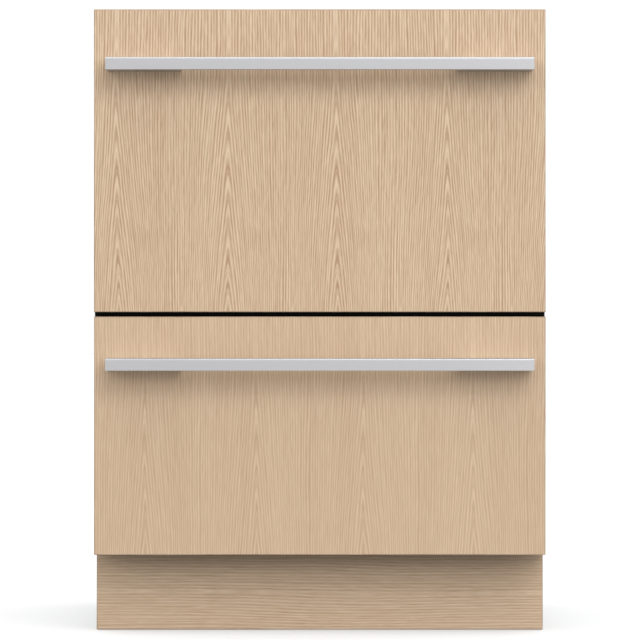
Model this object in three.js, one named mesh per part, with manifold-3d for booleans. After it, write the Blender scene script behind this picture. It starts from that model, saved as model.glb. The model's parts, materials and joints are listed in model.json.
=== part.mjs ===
// A built-in dishwasher with two drawers, each with its own tub, lid and wash system.
// Millimetres, +Z up. The doors face -Y. The origin is on the floor, under the middle of the machine.
import * as THREE from "three";
import { mergeVertices } from "three/addons/utils/BufferGeometryUtils.js";
import Module from "manifold-3d";

const wasm = await Module();
wasm.setup();

// ---------------------------------------------------------------- driving dimensions

// The whole machine
const chassisWidth = 598; // slides into a 600 mm cabinet opening
const machineDepth = 573; // face of the door panels to the back of the chassis
const sheet = 1.2; // chassis sheet steel
const gap = 0.3; // between pieces that are screwed or clipped face to face

// Door panels and toe kick, all of 18 mm veneered board
const board = 18;
const panelInset = 1; // from the sides of the chassis
const lowerPanelHeight = 314.5;
const upperPanelHeight = 399.5;
const panelGap = 6; // the dark line between the two doors
const plinthHeight = 104.5; // floor to the lower edge of the lower door
const kickRecess = 63; // toe kick's face behind the doors' faces
const kickFloorGap = 1;
const kickTopGap = 2.5; // under the lower door

// Handles: a flat bar on two wide feet
const barInset = 17; // from the door's sides
const barHeight = 16.5;
const barDepth = 12;
const barEdge = 1.2; // chamfer along its long edges
const handleReach = 40; // face of the door to the face of the bar
const handleFootWidth = 98;
const handleFootInset = 1; // from the bar's ends
const upperBarBelowTop = 65.5; // top of the door to the top of the bar
const lowerBarBelowTop = 54.5;

// Drawer front frame behind each door panel, with the control strip along its top
const frameThickness = 12;
const frameInset = 1.5; // from the sides of the chassis
const frameBottomLift = 2.5; // above the lower edge of the lower door
const lowerFrameBelowTop = 0.6; // top of the lower door to the top of its frame
const upperFrameBelowTop = 5.5;
const frameToFrame = 1.2; // the upper frame hangs down this near to the lower one and closes the gap
const stripInset = 9; // from the sides of the chassis
const stripHeight = 8;
const stripToTub = 2;

// Keys on the control strip
const keyLength = 26;
const keyWidth = 9;
const keyProud = 0.6;
const keyTravel = 1;
const keyHeight = 4.8;
const keySpacing = 60; // power key to start key
const keyFromMiddle = 190; // power key's centre, to the left of the middle
const keyBehindDoor = 8;

// Chassis
const chassisBehindFrame = 3.7; // front edge of the side sheets, behind the drawers' front frames
const chassisBelowTop = 3.3; // top of the upper door to the top of the chassis
const chassisBottom = 50; // floor to the lower edge of the side sheets
const backSheetBottom = 110;
const serviceSpace = 44; // above the upper lid
const memberAboveLid = 1.5; // cross member over the front of the lower lid
const memberSize = [16, 11.5]; // along Y and Z

// Base tray
const trayWall = 3;
const trayBottom = 52;
const trayBelowPlinth = 6.5; // lower edge of the lower door to the top of the tray
const trayBehindKick = 3;
const trayRearSpace = 30; // left free behind the tray for taps and hoses
const bossRadius = 14;
const bossBelowTop = 6;

// Levelling feet
const footInset = [55, 32]; // stem's centre from the side of the chassis and from the tray's ends
const stemRadius = 5;
const stemClearance = 0.3;
const padRadius = 20;
const padHeight = 9;
const stemAboveBoss = 4;

// Telescopic runners: three nested channels on each side
const runnerBehindFrame = 11.7;
const runnerRearSpace = 41; // to the back of the machine
const runnerHeight = 46;
const runnerSheet = 1.5;
const runnerPack = 14; // side sheet to tub wall
const runnerBelowRim = 130;

// Tubs
const rimBelowPanel = 9; // top of the lower door to the rim of the lower tub
const tubWall = 3;
const tubBehindFrame = 15.7; // front frame to the outside of the front wall
const tubRearSpace = 43; // outside of the rear wall to the back of the machine
const tubCorner = 42;
const flangeHeight = 6;
const flangeSide = 2.3; // flange to side sheet
const flangeReach = 15; // past the rear wall
const flangeCorner = 30;
const sumpRadius = 98;
const sumpLedge = 6;
const sumpLedgeDepth = 4;
const sumpDepth = 22;
const sumpSides = 40;

// Lids
const lidThickness = 10;
const lidAboveRim = 13; // its underside, raised
const lidTravel = 9.6;
const lidSide = 4.8; // lid to side sheet
const lidBehindTub = 0.5; // its front edge, behind the outside of the tub's front wall
const lidPastFlange = 4; // behind the flange
const lidCorner = 20;
const lidPinRadius = 3;
const lidPinReach = 0.5; // pin's end to side sheet
const lidPinInset = 90; // from the lid's front and rear edges
const guideWidth = 24;
const guideWall = 3;
const guideToLid = 0.6;
const sealWidth = 7;
const sealInset = [2, 3.5]; // from the lid's sides and from its front edge
const sealClearance = 0.4; // over the rim when the lid is down

// Wash system
const motorRadius = 70;
const motorHeight = 42;
const motorClearance = 4.7; // under the motor
const spindleRadius = 6;
const spindleClearance = 0.5;
const spindleTop = 19.5; // above the tub's floor
const hubRadius = 22;
const hubBottom = 6; // above the tub's floor
const hubTop = 26;
const armClearance = 17; // tip to the nearest wall
const armRoot = 44; // its width at the hub
const armTip = 30;
const armBottom = 12;
const armTop = 23;
const filterThickness = 3;
const filterHole = 13;

// Racks, of coated wire
const wire = 4;
const rackClearance = 14; // to the tub's walls
const rackToDispenser = 5.2;
const rackFloor = 40; // above the tub's floor
const rackBelowRim = 40;
const rackMiddleRing = 78; // above the rack's floor
const wirePitch = 74; // about; the count of wires follows from it
const tineHeight = 62;
const tineEvery = 3; // rows of tines stand on every third wire

// Folding cup shelf, on the left wall of the upper rack
const shelfWire = 3.2;
const shelfReach = 92;
const shelfInset = 54; // from the rack's ends
const shelfGap = 0.9; // to the rack's wall, so that it turns freely
const shelfPitch = 41;
const shelfBelowRim = 104;

// Detergent dispenser, on the front wall of each tub
const dispenserSize = [136, 17, 82]; // along X, Y and Z
const dispenserFromMiddle = 120; // its centre, to the left of the middle
const dispenserBelowRim = 46; // its top
const cupSize = [52, 12, 52];
const cupInset = 8; // cup's edge from the dispenser's left end
const doorThickness = 2.5;
const doorOverlap = 3; // past the cup's edge
const lipHeight = 4;
const lipProud = 1; // in front of the cup's door

// Fittings on the rear wall of the base tray. at is a place across, and the rest are radii and lengths.
const inlet = { at: -200, flange: 20, flangeDepth: 8, spigot: 13, length: 24, bore: 8 };
const gland = { at: -120, flange: 14, flangeDepth: 4, spigot: 9, length: 16, bore: 4 };
const drain = { at: 205, flange: 18, flangeDepth: 4, spigot: 10.5, length: 24, bore: 7 };
const fittingFloor = 3; // behind each bore
const fittingHeight = 76;

// Control module in the base
const moduleSize = [180, 120, 32];
const moduleInset = [54, 30]; // from the tray's left wall and from the front feet

// ---------------------------------------------------------------- places worked out from them

const halfWidth = chassisWidth / 2;
const innerHalf = halfWidth - sheet; // inside faces of the side sheets
const panelWidth = chassisWidth - 2 * panelInset;
const barLength = panelWidth - 2 * barInset;
const lowerPanelTop = plinthHeight + lowerPanelHeight;
const upperPanelBottom = lowerPanelTop + panelGap;
const upperPanelTop = upperPanelBottom + upperPanelHeight;
const chassisTop = upperPanelTop - chassisBelowTop;
const kickBack = kickRecess + board;
const frameFront = board + gap;
const frameBack = frameFront + frameThickness;
const chassisFront = frameBack + chassisBehindFrame;
const runnerFront = frameBack + runnerBehindFrame;
const runnerBack = machineDepth - runnerRearSpace;
const tubFront = frameBack + tubBehindFrame;
const keyY = frameFront + keyBehindDoor;

const trayTop = plinthHeight - trayBelowPlinth;
const trayFront = kickBack + trayBehindKick;
const trayBack = machineDepth - trayRearSpace;
const footX = halfWidth - footInset[0];
const footY = [trayFront + footInset[1], trayBack - footInset[1]];

const lidStack = lidAboveRim + lidThickness; // rim to the top of the raised lid
const lowerRim = lowerPanelTop - rimBelowPanel;
const upperRim = chassisTop - sheet - serviceSpace - lidStack;
const memberBottom = lowerRim + lidStack + memberAboveLid;
const memberTop = memberBottom + memberSize[1];
const underTub = tubWall + sumpDepth + gap + motorHeight + motorClearance;
const tubDepth = Math.min(lowerRim - trayTop, upperRim - memberTop) - underTub;
const tubHalf = innerHalf - runnerPack;
const tubBack = machineDepth - tubRearSpace;
const tubMiddle = (tubFront + tubBack) / 2;
const floor = -tubDepth; // the tub's floor, under its rim
const sumpBottom = floor - sumpDepth - tubWall;

const flangeHalf = innerHalf - flangeSide;
const flangeFront = frameBack + gap;
const flangeBack = tubBack + flangeReach;
const lidHalf = innerHalf - lidSide;
const lidFront = tubFront + lidBehindTub;
const lidBack = flangeBack + lidPastFlange;
const lidPinY = [lidFront + lidPinInset, lidBack - lidPinInset];
const lidPinZ = lidAboveRim + lidThickness / 2;

const dispenserFront = tubFront + tubWall + gap;
const dispenserFace = dispenserFront + dispenserSize[1];
const lipFace = dispenserFace + gap + doorThickness + lipProud;

const rackHalf = tubHalf - tubWall - rackClearance;
const rackFront = lipFace + rackToDispenser;
const rackBack = tubBack - tubWall - rackClearance;
const armLength = Math.min(tubHalf, (tubBack - tubFront) / 2) - tubWall - armClearance;

// ---------------------------------------------------------------- materials

const finish = (color, roughness, metalness = 0) =>
  new THREE.MeshStandardMaterial({ color, roughness, metalness });

const materials = {
  oakVeneer: finish(0xd0b597, 0.6),
  brushedAluminium: finish(0xc6c6c8, 0.35, 1),
  blackPlastic: finish(0x121212, 0.5),
  keyGrey: finish(0x9fa3a6, 0.4),
  galvanisedSteel: finish(0xa9adb0, 0.45, 1),
  runnerSteel: finish(0xb9bcbf, 0.3, 1),
  trayPlastic: finish(0x3a3c3e, 0.6),
  tubPlastic: finish(0xb4b7b9, 0.45),
  lidPlastic: finish(0x8e9194, 0.5),
  sealRubber: finish(0x2a2b2c, 0.8),
  sprayPlastic: finish(0x6c7175, 0.4),
  filterSteel: finish(0xbfc1c2, 0.3, 1),
  motorPlastic: finish(0x25282b, 0.5),
  rackNylon: finish(0x9aa0a5, 0.5),
  dispenserPlastic: finish(0xd9dbdc, 0.4),
  footPlastic: finish(0x1d1e1f, 0.6),
  valveWhite: finish(0xe4e4df, 0.5),
};

// ---------------------------------------------------------------- shapes

// A closed three.js geometry as a solid.
// A lathe's profile may run either way, so a solid that comes out inverted is turned round.
function solid(geometry) {
  const bare = new THREE.BufferGeometry();
  bare.setAttribute("position", geometry.getAttribute("position"));
  bare.setIndex(geometry.getIndex());
  const merged = mergeVertices(bare, 1e-4);
  const build = (triVerts) =>
    new wasm.Manifold(
      new wasm.Mesh({
        numProp: 3,
        vertProperties: merged.getAttribute("position").array,
        triVerts,
      }),
    );
  const corners = new Uint32Array(merged.getIndex().array);
  const made = build(corners);
  return made.volume() > 0 ? made : build(corners.reverse());
}

function geometryOf(shape) {
  const { vertProperties, triVerts } = shape.getMesh();
  const geometry = new THREE.BufferGeometry();
  geometry.setAttribute("position", new THREE.BufferAttribute(vertProperties, 3));
  geometry.setIndex(new THREE.BufferAttribute(triVerts, 1));
  geometry.computeVertexNormals();
  return geometry;
}

// A box between two values on each axis, in either order.
function block(x, y, z) {
  const size = [x, y, z].map(([a, b]) => Math.abs(b - a));
  const middle = [x, y, z].map(([a, b]) => (a + b) / 2);
  return solid(new THREE.BoxGeometry(...size).translate(...middle));
}

const around = (middle, size) => [middle - size / 2, middle + size / 2];

// An upright round solid of radius r about (x, y).
function post(r, x, y, [z0, z1], sides = 24) {
  const geometry = new THREE.CylinderGeometry(r, r, z1 - z0, sides);
  return solid(geometry.rotateX(Math.PI / 2).translate(x, y, (z0 + z1) / 2));
}

// A round solid of radius r along X, about (y, z).
function crossPin(r, [x0, x1], y, z, sides = 12) {
  const geometry = new THREE.CylinderGeometry(r, r, Math.abs(x1 - x0), sides);
  return solid(geometry.rotateZ(Math.PI / 2).translate((x0 + x1) / 2, y, z));
}

// A turned solid along Y, from a profile of [radius, y] pairs that starts and ends on the axis.
function turned(profile, x, z, sides = 24) {
  const points = profile.map(([r, y]) => new THREE.Vector2(r, y));
  return solid(new THREE.LatheGeometry(points, sides).translate(x, 0, z));
}

function outlineOf(points) {
  return new THREE.Shape(points.map(([u, v]) => new THREE.Vector2(u, v)));
}

const straight = (depth) => ({ depth, bevelEnabled: false, curveSegments: 6 });

// An outline in Y and Z, extruded along X.
function alongX(points, [x0, x1]) {
  const geometry = new THREE.ExtrudeGeometry(outlineOf(points), straight(Math.abs(x1 - x0)));
  const turn = new THREE.Matrix4().makeBasis(
    new THREE.Vector3(0, 1, 0),
    new THREE.Vector3(0, 0, 1),
    new THREE.Vector3(1, 0, 0),
  );
  return solid(geometry.applyMatrix4(turn).translate(Math.min(x0, x1), 0, 0));
}

// An outline in X and Z, extruded along Y.
function alongY(points, [y0, y1]) {
  const geometry = new THREE.ExtrudeGeometry(outlineOf(points), straight(y1 - y0));
  return solid(geometry.rotateX(Math.PI / 2).translate(0, y1, 0));
}

// An outline in X and Y, extruded along Z.
function alongZ(shape, [z0, z1]) {
  return solid(new THREE.ExtrudeGeometry(shape, straight(z1 - z0)).translate(0, 0, z0));
}

function roundedRectangle([x0, x1], [y0, y1], r) {
  const quarter = Math.PI / 2;
  return new THREE.Shape()
    .absarc(x1 - r, y0 + r, r, -quarter, 0)
    .absarc(x1 - r, y1 - r, r, 0, quarter)
    .absarc(x0 + r, y1 - r, r, quarter, 2 * quarter)
    .absarc(x0 + r, y0 + r, r, 2 * quarter, 3 * quarter);
}

const roundedSlab = (x, y, r, z) => alongZ(roundedRectangle(x, y, r), z);

const joined = (shapes) => shapes.reduce((a, b) => a.add(b));

// Centres of evenly spaced bars of a width, edge to edge between two values.
function barCentres([from, to], width, pitch) {
  const span = to - from - width;
  const count = Math.max(1, Math.round(span / pitch));
  return Array.from({ length: count + 1 }, (_, i) => from + width / 2 + (span * i) / count);
}

function piece(group, name, material, shape) {
  const geometry = shape.isBufferGeometry ? shape : geometryOf(shape);
  const mesh = new THREE.Mesh(geometry, materials[material]);
  mesh.name = name;
  group.add(mesh);
  return mesh;
}

// -1 is left and 1 is right, as seen from the front.
const sides = { left: -1, right: 1 };
const eachSide = (make) => Object.entries(sides).forEach(([word, side]) => make(word, side));

// ---------------------------------------------------------------- chassis

// A block on the inside of the side sheet that holds one lid pin in an upright slot.
function lidGuide(side, y, rim) {
  const inner = side * (lidHalf + guideToLid);
  const low = lidPinZ - lidTravel - lidPinRadius - gap;
  const high = lidPinZ + lidPinRadius + gap;
  const body = block(
    [inner, side * (innerHalf + sheet / 2)],
    around(y, guideWidth),
    [rim + low - guideWall, rim + high + guideWall],
  );
  const slot = block(
    [inner - side, side * innerHalf],
    around(y, 2 * (lidPinRadius + gap)),
    [rim + low, rim + high],
  );
  return body.subtract(slot);
}

function chassisSide(side) {
  const rear = machineDepth - sheet - gap;
  const shoulder = plinthHeight + kickTopGap;
  const outline = [
    [kickBack + gap, chassisBottom],
    [rear, chassisBottom],
    [rear, chassisTop - sheet - gap],
    [chassisFront, chassisTop - sheet - gap],
    [chassisFront, shoulder],
    [kickBack + gap, shoulder],
  ];
  const skin = alongX(outline, [side * innerHalf, side * halfWidth]);
  const guides = [lowerRim, upperRim].flatMap((rim) =>
    lidPinY.map((y) => lidGuide(side, y, rim)),
  );
  return joined([skin, ...guides]);
}

function baseTray() {
  const half = innerHalf - gap;
  const y = [trayFront, trayBack];
  const outer = block([-half, half], y, [trayBottom, trayTop]);
  const inner = block(
    [trayWall - half, half - trayWall],
    [y[0] + trayWall, y[1] - trayWall],
    [trayBottom + trayWall, trayTop + 1],
  );
  const places = Object.values(sides).flatMap((side) => footY.map((at) => [side * footX, at]));
  const bosses = places.map(([x, at]) => post(bossRadius, x, at, [trayBottom, trayTop - bossBelowTop]));
  const holes = places.map(([x, at]) =>
    post(stemRadius + stemClearance, x, at, [trayBottom - 1, trayTop], 16),
  );
  return joined([outer.subtract(inner), ...bosses]).subtract(joined(holes));
}

function levellingFoot(x, y) {
  const pad = post(padRadius, x, y, [0, padHeight]);
  const stem = post(stemRadius, x, y, [padHeight - 1, trayTop - bossBelowTop + stemAboveBoss], 16);
  return pad.add(stem);
}

function chassis(group) {
  eachSide((word, side) => piece(group, `chassis_side_${word}`, "galvanisedSteel", chassisSide(side)));
  piece(
    group,
    "chassis_back",
    "galvanisedSteel",
    block(
      [-halfWidth, halfWidth],
      [machineDepth - sheet, machineDepth],
      [backSheetBottom, chassisTop - sheet - gap],
    ),
  );
  piece(
    group,
    "chassis_top",
    "galvanisedSteel",
    block([-halfWidth, halfWidth], [chassisFront, machineDepth], [chassisTop - sheet, chassisTop]),
  );
  piece(
    group,
    "middle_crossmember",
    "blackPlastic",
    block(
      [gap - innerHalf, innerHalf - gap],
      [chassisFront, chassisFront + memberSize[0]],
      [memberBottom, memberTop],
    ),
  );
  piece(group, "base_tray", "trayPlastic", baseTray());
  piece(
    group,
    "toe_kick",
    "oakVeneer",
    block(
      around(0, panelWidth),
      [kickRecess, kickBack],
      [kickFloorGap, plinthHeight - kickTopGap],
    ),
  );
  eachSide((word, side) => {
    piece(group, `foot_front_${word}`, "footPlastic", levellingFoot(side * footX, footY[0]));
    piece(group, `foot_rear_${word}`, "footPlastic", levellingFoot(side * footX, footY[1]));
  });
}

// ---------------------------------------------------------------- connections and electronics

// A disc on the tray's rear wall, and a spigot with a blind bore that points to the back.
function fitting({ at, flange, flangeDepth, spigot, length, bore }) {
  const wall = trayBack + gap;
  const profile = [
    [0, wall],
    [flange, wall],
    [flange, wall + flangeDepth],
    [spigot, wall + flangeDepth],
    [spigot, wall + length],
    [bore, wall + length],
    [bore, wall + fittingFloor],
    [0, wall + fittingFloor],
  ];
  return turned(profile, at, fittingHeight);
}

function fittings(group) {
  piece(group, "inlet_valve", "valveWhite", fitting(inlet));
  piece(group, "cable_gland", "blackPlastic", fitting(gland));
  piece(group, "drain_outlet", "trayPlastic", fitting(drain));
}

function controlModule(group) {
  const [length, depth, height] = moduleSize;
  const left = trayWall + moduleInset[0] - innerHalf;
  const front = footY[0] + moduleInset[1];
  const bottom = trayBottom + trayWall + gap;
  piece(
    group,
    "control_module",
    "motorPlastic",
    block([left, left + length], [front, front + depth], [bottom, bottom + height]),
  );
}

// ---------------------------------------------------------------- runners

// A channel. The web's back and face, and the flanges' edges, are distances from the side sheet.
function channel(side, [back, face], edge, half) {
  const at = (distance) => side * (innerHalf - distance);
  const [low, high] = around(-runnerBelowRim, 2 * half);
  const outline = [
    [at(back), low],
    [at(edge), low],
    [at(edge), low + runnerSheet],
    [at(face), low + runnerSheet],
    [at(face), high - runnerSheet],
    [at(edge), high - runnerSheet],
    [at(edge), high],
    [at(back), high],
  ];
  return alongY(outline, [runnerFront, runnerBack]);
}

function runners(chassisGroup, middleGroup, drawerGroup, level) {
  const half = [0, 1, 2].map((nested) => runnerHeight / 2 - nested * (runnerSheet + gap));
  const outerWeb = [gap, gap + runnerSheet];
  const middleWeb = outerWeb.map((at) => at + runnerSheet + gap);
  const innerWeb = [runnerPack - gap, runnerPack - gap - runnerSheet];
  eachSide((word, side) => {
    const rail = (group, stage, web, edge, halfHeight) =>
      piece(
        group,
        `${level}_rail_${stage}_${word}`,
        "runnerSteel",
        channel(side, web, edge, halfHeight),
      );
    rail(chassisGroup, "outer", outerWeb, innerWeb[1], half[0]);
    rail(middleGroup, "middle", middleWeb, innerWeb[1] - gap, half[1]);
    rail(drawerGroup, "inner", innerWeb, middleWeb[1] + gap, half[2]);
  });
}

// ---------------------------------------------------------------- drawer front

// Heights are given from the rim of the tub.
function doorAndHandle(group, level, [bottom, top], barBelowTop) {
  piece(
    group,
    `${level}_door_panel`,
    "oakVeneer",
    block(around(0, panelWidth), [0, board], [bottom, top]),
  );
  const face = -handleReach;
  const back = face + barDepth;
  const high = top - barBelowTop;
  const low = high - barHeight;
  const e = barEdge;
  const outline = [
    [face + e, low], [back - e, low], [back, low + e], [back, high - e],
    [back - e, high], [face + e, high], [face, high - e], [face, low + e],
  ];
  piece(group, `${level}_handle_bar`, "brushedAluminium", alongX(outline, around(0, barLength)));
  eachSide((word, side) => {
    const outer = side * (barLength / 2 - handleFootInset);
    const foot = block([outer - side * handleFootWidth, outer], [back + gap, -gap], [low, high]);
    piece(group, `${level}_handle_foot_${word}`, "brushedAluminium", foot);
  });
}

function keyPocket(x, top) {
  const depth = keyHeight - keyProud + keyTravel + gap;
  return block(
    around(x, keyLength + 2 * gap),
    around(keyY, keyWidth + 2 * gap),
    [top - depth, top + 1],
  );
}

function drawerFront(group, level, bottom, top) {
  const across = (inset) => around(0, chassisWidth - 2 * inset);
  const slab = block(across(frameInset), [frameFront, frameBack], [bottom, top]);
  const strip = block(across(stripInset), [frameFront, tubFront - stripToTub], [top - stripHeight, top]);
  const keys = { power: -keyFromMiddle, start: keySpacing - keyFromMiddle };
  const pockets = Object.values(keys).map((x) => keyPocket(x, top));
  piece(group, `${level}_front_frame`, "blackPlastic", slab.add(strip).subtract(joined(pockets)));
  for (const [word, x] of Object.entries(keys)) {
    const z = [top + keyProud - keyHeight, top + keyProud];
    const key = block(around(x, keyLength), around(keyY, keyWidth), z);
    piece(group, `${level}_${word}_key`, "keyGrey", key);
  }
}

// ---------------------------------------------------------------- tub and what it carries

function tub() {
  const flange = roundedSlab(
    [-flangeHalf, flangeHalf],
    [flangeFront, flangeBack],
    flangeCorner,
    [-flangeHeight, 0],
  );
  const body = roundedSlab([-tubHalf, tubHalf], [tubFront, tubBack], tubCorner, [floor - tubWall, -1]);
  const inside = roundedSlab(
    [tubWall - tubHalf, tubHalf - tubWall],
    [tubFront + tubWall, tubBack - tubWall],
    tubCorner - tubWall,
    [floor, 1],
  );
  const round = (r, z) => post(r, 0, tubMiddle, z, sumpSides);
  const ledge = sumpRadius + sumpLedge;
  const sump = round(ledge + tubWall, [sumpBottom, floor - 1]);
  const hollow = joined([
    inside,
    round(ledge, [floor - sumpLedgeDepth, floor + 1]),
    round(sumpRadius, [floor - sumpDepth, floor]),
    post(spindleRadius + spindleClearance, 0, tubMiddle, [sumpBottom - 1, floor], 16),
  ]);
  return joined([flange, body, sump]).subtract(hollow);
}

function filterPlate() {
  const top = floor - sumpLedgeDepth + gap + filterThickness;
  const z = [top - filterThickness, top];
  const disc = post(sumpRadius + sumpLedge - gap, 0, tubMiddle, z, sumpSides);
  return disc.subtract(post(filterHole, 0, tubMiddle, [z[0] - 1, z[1] + 1]));
}

function washMotor() {
  const top = sumpBottom - gap;
  const can = post(motorRadius, 0, tubMiddle, [top - motorHeight, top], 32);
  return can.add(post(spindleRadius, 0, tubMiddle, [top - 1, floor + spindleTop], 16));
}

function sprayArm() {
  const tip = armLength - armTip / 2;
  const outline = new THREE.Shape();
  outline.moveTo(0, -armRoot / 2);
  outline.lineTo(tip, -armTip / 2);
  outline.absarc(tip, 0, armTip / 2, -Math.PI / 2, Math.PI / 2);
  outline.lineTo(0, armRoot / 2);
  const half = alongZ(outline, [floor + armBottom, floor + armTop]);
  const arms = half.add(half.rotate([0, 0, 180])).translate([0, tubMiddle, 0]);
  const hub = post(hubRadius, 0, tubMiddle, [floor + hubBottom, floor + hubTop]);
  const bore = post(
    spindleRadius + spindleClearance,
    0,
    tubMiddle,
    [floor + hubBottom - 1, floor + spindleTop + spindleClearance],
    16,
  );
  return joined([hub, arms]).subtract(bore);
}

// A flat grid, two rings and the uprights between them, with rows of tines for plates.
function rack() {
  const x = [-rackHalf, rackHalf];
  const y = [rackFront, rackBack];
  const bottom = floor + rackFloor;
  const top = -rackBelowRim;
  const across = barCentres(x, wire, wirePitch);
  const along = barCentres(y, wire, wirePitch);
  const level = [bottom, bottom + wire];
  const floorBars = [
    ...across.map((at) => block(around(at, wire), y, level)),
    ...along.map((at) => block(x, around(at, wire), level)),
  ];
  const ring = (z) => [
    ...[along[0], along.at(-1)].map((at) => block(x, around(at, wire), z)),
    ...[across[0], across.at(-1)].map((at) => block(around(at, wire), y, z)),
  ];
  const upright = (atX, atY, from = bottom) => block(around(atX, wire), around(atY, wire), [from, top]);
  const uprights = [
    ...across.slice(1, -1).flatMap((at) => [upright(at, along[0]), upright(at, along.at(-1))]),
    ...along.slice(1, -1).flatMap((at) => [upright(across[0], at), upright(across.at(-1), at)]),
    ...[across[0], across.at(-1)].flatMap((atX) =>
      [along[0], along.at(-1)].map((atY) => upright(atX, atY, floor + gap)),
    ),
  ];
  const pitch = along[1] - along[0];
  const tineY = barCentres([along[1] - wire / 2, along.at(-2) + wire / 2], wire, pitch / 2);
  const tineX = across.slice(1, -1).filter((_, i) => i % tineEvery === 1);
  const tines = tineX.flatMap((atX) =>
    tineY.map((atY) => block(around(atX, wire), around(atY, wire), [bottom, bottom + tineHeight])),
  );
  const middle = bottom + rackMiddleRing;
  return joined([
    ...floorBars,
    ...ring([top - wire, top]),
    ...ring([middle, middle + wire]),
    ...uprights,
    ...tines,
  ]);
}

// It lies level at rest and turns up about its outer rod.
function cupShelf() {
  const outer = wire + shelfGap - rackHalf;
  const z = [-shelfBelowRim, shelfWire - shelfBelowRim];
  const y = [rackFront + shelfInset, rackBack - shelfInset];
  const x = [outer, outer + shelfReach];
  const long = barCentres(x, shelfWire, shelfReach / 3);
  const short = barCentres(y, shelfWire, shelfPitch);
  return joined([
    ...long.map((at) => block(around(at, shelfWire), y, z)),
    ...short.map((at) => block(x, around(at, shelfWire), z)),
  ]);
}

const dispenserLeft = -dispenserFromMiddle - dispenserSize[0] / 2;
const dispenserTop = -dispenserBelowRim;
const cupMiddle = dispenserTop - dispenserSize[2] / 2;
const cupX = [dispenserLeft + cupInset, dispenserLeft + cupInset + cupSize[0]];
const doorZ = around(cupMiddle, cupSize[2] + 2 * doorOverlap);

function dispenser() {
  const x = [dispenserLeft, dispenserLeft + dispenserSize[0]];
  const z = [dispenserTop - dispenserSize[2], dispenserTop];
  const body = block(x, [dispenserFront, dispenserFace], z);
  const cupY = [dispenserFace - cupSize[1], dispenserFace + 1];
  const cup = block(cupX, cupY, around(cupMiddle, cupSize[2]));
  const proud = [dispenserFace - 1, lipFace];
  const lips = [
    block(x, proud, [doorZ[1] + gap, doorZ[1] + gap + lipHeight]),
    block(x, proud, [doorZ[0] - gap - lipHeight, doorZ[0] - gap]),
  ];
  return joined([body.subtract(cup), ...lips]);
}

function dispenserDoor() {
  const x = [cupX[0] - doorOverlap, cupX[1] + doorOverlap];
  return block(x, [dispenserFace + gap, dispenserFace + gap + doorThickness], doorZ);
}

// ---------------------------------------------------------------- lid

function lid() {
  const plate = roundedSlab(
    [-lidHalf, lidHalf],
    [lidFront, lidBack],
    lidCorner,
    [lidAboveRim, lidAboveRim + lidThickness],
  );
  const pins = Object.values(sides).flatMap((side) => {
    const x = [side * (lidHalf - 1), side * (innerHalf - lidPinReach)];
    return lidPinY.map((y) => crossPin(lidPinRadius, x, y, lidPinZ));
  });
  return joined([plate, ...pins]);
}

function lidSeal() {
  const [fromSide, fromFront] = sealInset;
  const half = lidHalf - fromSide;
  const y = [lidFront + fromFront, flangeBack - fromFront];
  const z = [lidTravel + sealClearance, lidAboveRim - gap];
  const r = flangeCorner - sealWidth;
  const outer = roundedSlab([-half, half], y, r, z);
  const inner = roundedSlab(
    [sealWidth - half, half - sealWidth],
    [y[0] + sealWidth, y[1] - sealWidth],
    r - sealWidth,
    [z[0] - 1, z[1] + 1],
  );
  return outer.subtract(inner);
}

// ---------------------------------------------------------------- assembly

function drawerLevel(machine, level, rim, door, barBelowTop, frame) {
  const fixed = new THREE.Group();
  const middle = new THREE.Group();
  const drawer = new THREE.Group();
  for (const group of [fixed, middle, drawer]) {
    group.position.z = rim;
    machine.add(group);
  }
  const fromRim = ([bottom, top]) => [bottom - rim, top - rim];
  doorAndHandle(drawer, level, fromRim(door), barBelowTop);
  drawerFront(drawer, level, ...fromRim(frame));
  runners(fixed, middle, drawer, level);
  piece(drawer, `${level}_tub`, "tubPlastic", tub());
  piece(drawer, `${level}_filter_plate`, "filterSteel", filterPlate());
  piece(drawer, `${level}_wash_motor`, "motorPlastic", washMotor());
  piece(drawer, `${level}_spray_arm`, "sprayPlastic", sprayArm());
  piece(drawer, `${level}_rack`, "rackNylon", rack());
  piece(drawer, `${level}_dispenser`, "dispenserPlastic", dispenser());
  piece(drawer, `${level}_dispenser_door`, "keyGrey", dispenserDoor());
  piece(fixed, `${level}_lid`, "lidPlastic", lid());
  piece(fixed, `${level}_lid_seal`, "sealRubber", lidSeal());
  return drawer;
}

const machine = new THREE.Group();
// From here, Y is measured back from the face of the doors.
machine.position.y = (handleReach - machineDepth) / 2;

chassis(machine);
fittings(machine);
controlModule(machine);
drawerLevel(
  machine,
  "lower",
  lowerRim,
  [plinthHeight, lowerPanelTop],
  lowerBarBelowTop,
  [plinthHeight + frameBottomLift, lowerPanelTop - lowerFrameBelowTop],
);
const upperDrawer = drawerLevel(
  machine,
  "upper",
  upperRim,
  [upperPanelBottom, upperPanelTop],
  upperBarBelowTop,
  [lowerPanelTop - lowerFrameBelowTop + frameToFrame, upperPanelTop - upperFrameBelowTop],
);
piece(upperDrawer, "upper_cup_shelf", "rackNylon", cupShelf());

const dishwasher = new THREE.Group();
dishwasher.add(machine);

export default dishwasher;
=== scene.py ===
# %% [markdown]
# # A dishwasher with two drawers behind oak doors
# The real machine slides into a kitchen cabinet. What shows is three veneered boards and two aluminium
# bars, and behind them two tubs run on steel rails in a zinc-coated chassis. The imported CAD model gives
# every place and size. So each step below looks up a CAD node's box, models the real piece inside it, and
# gives it a finish.

# %% Load the frame
import json
import math

import bmesh
import bpy
from mathutils import Matrix, Vector


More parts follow.
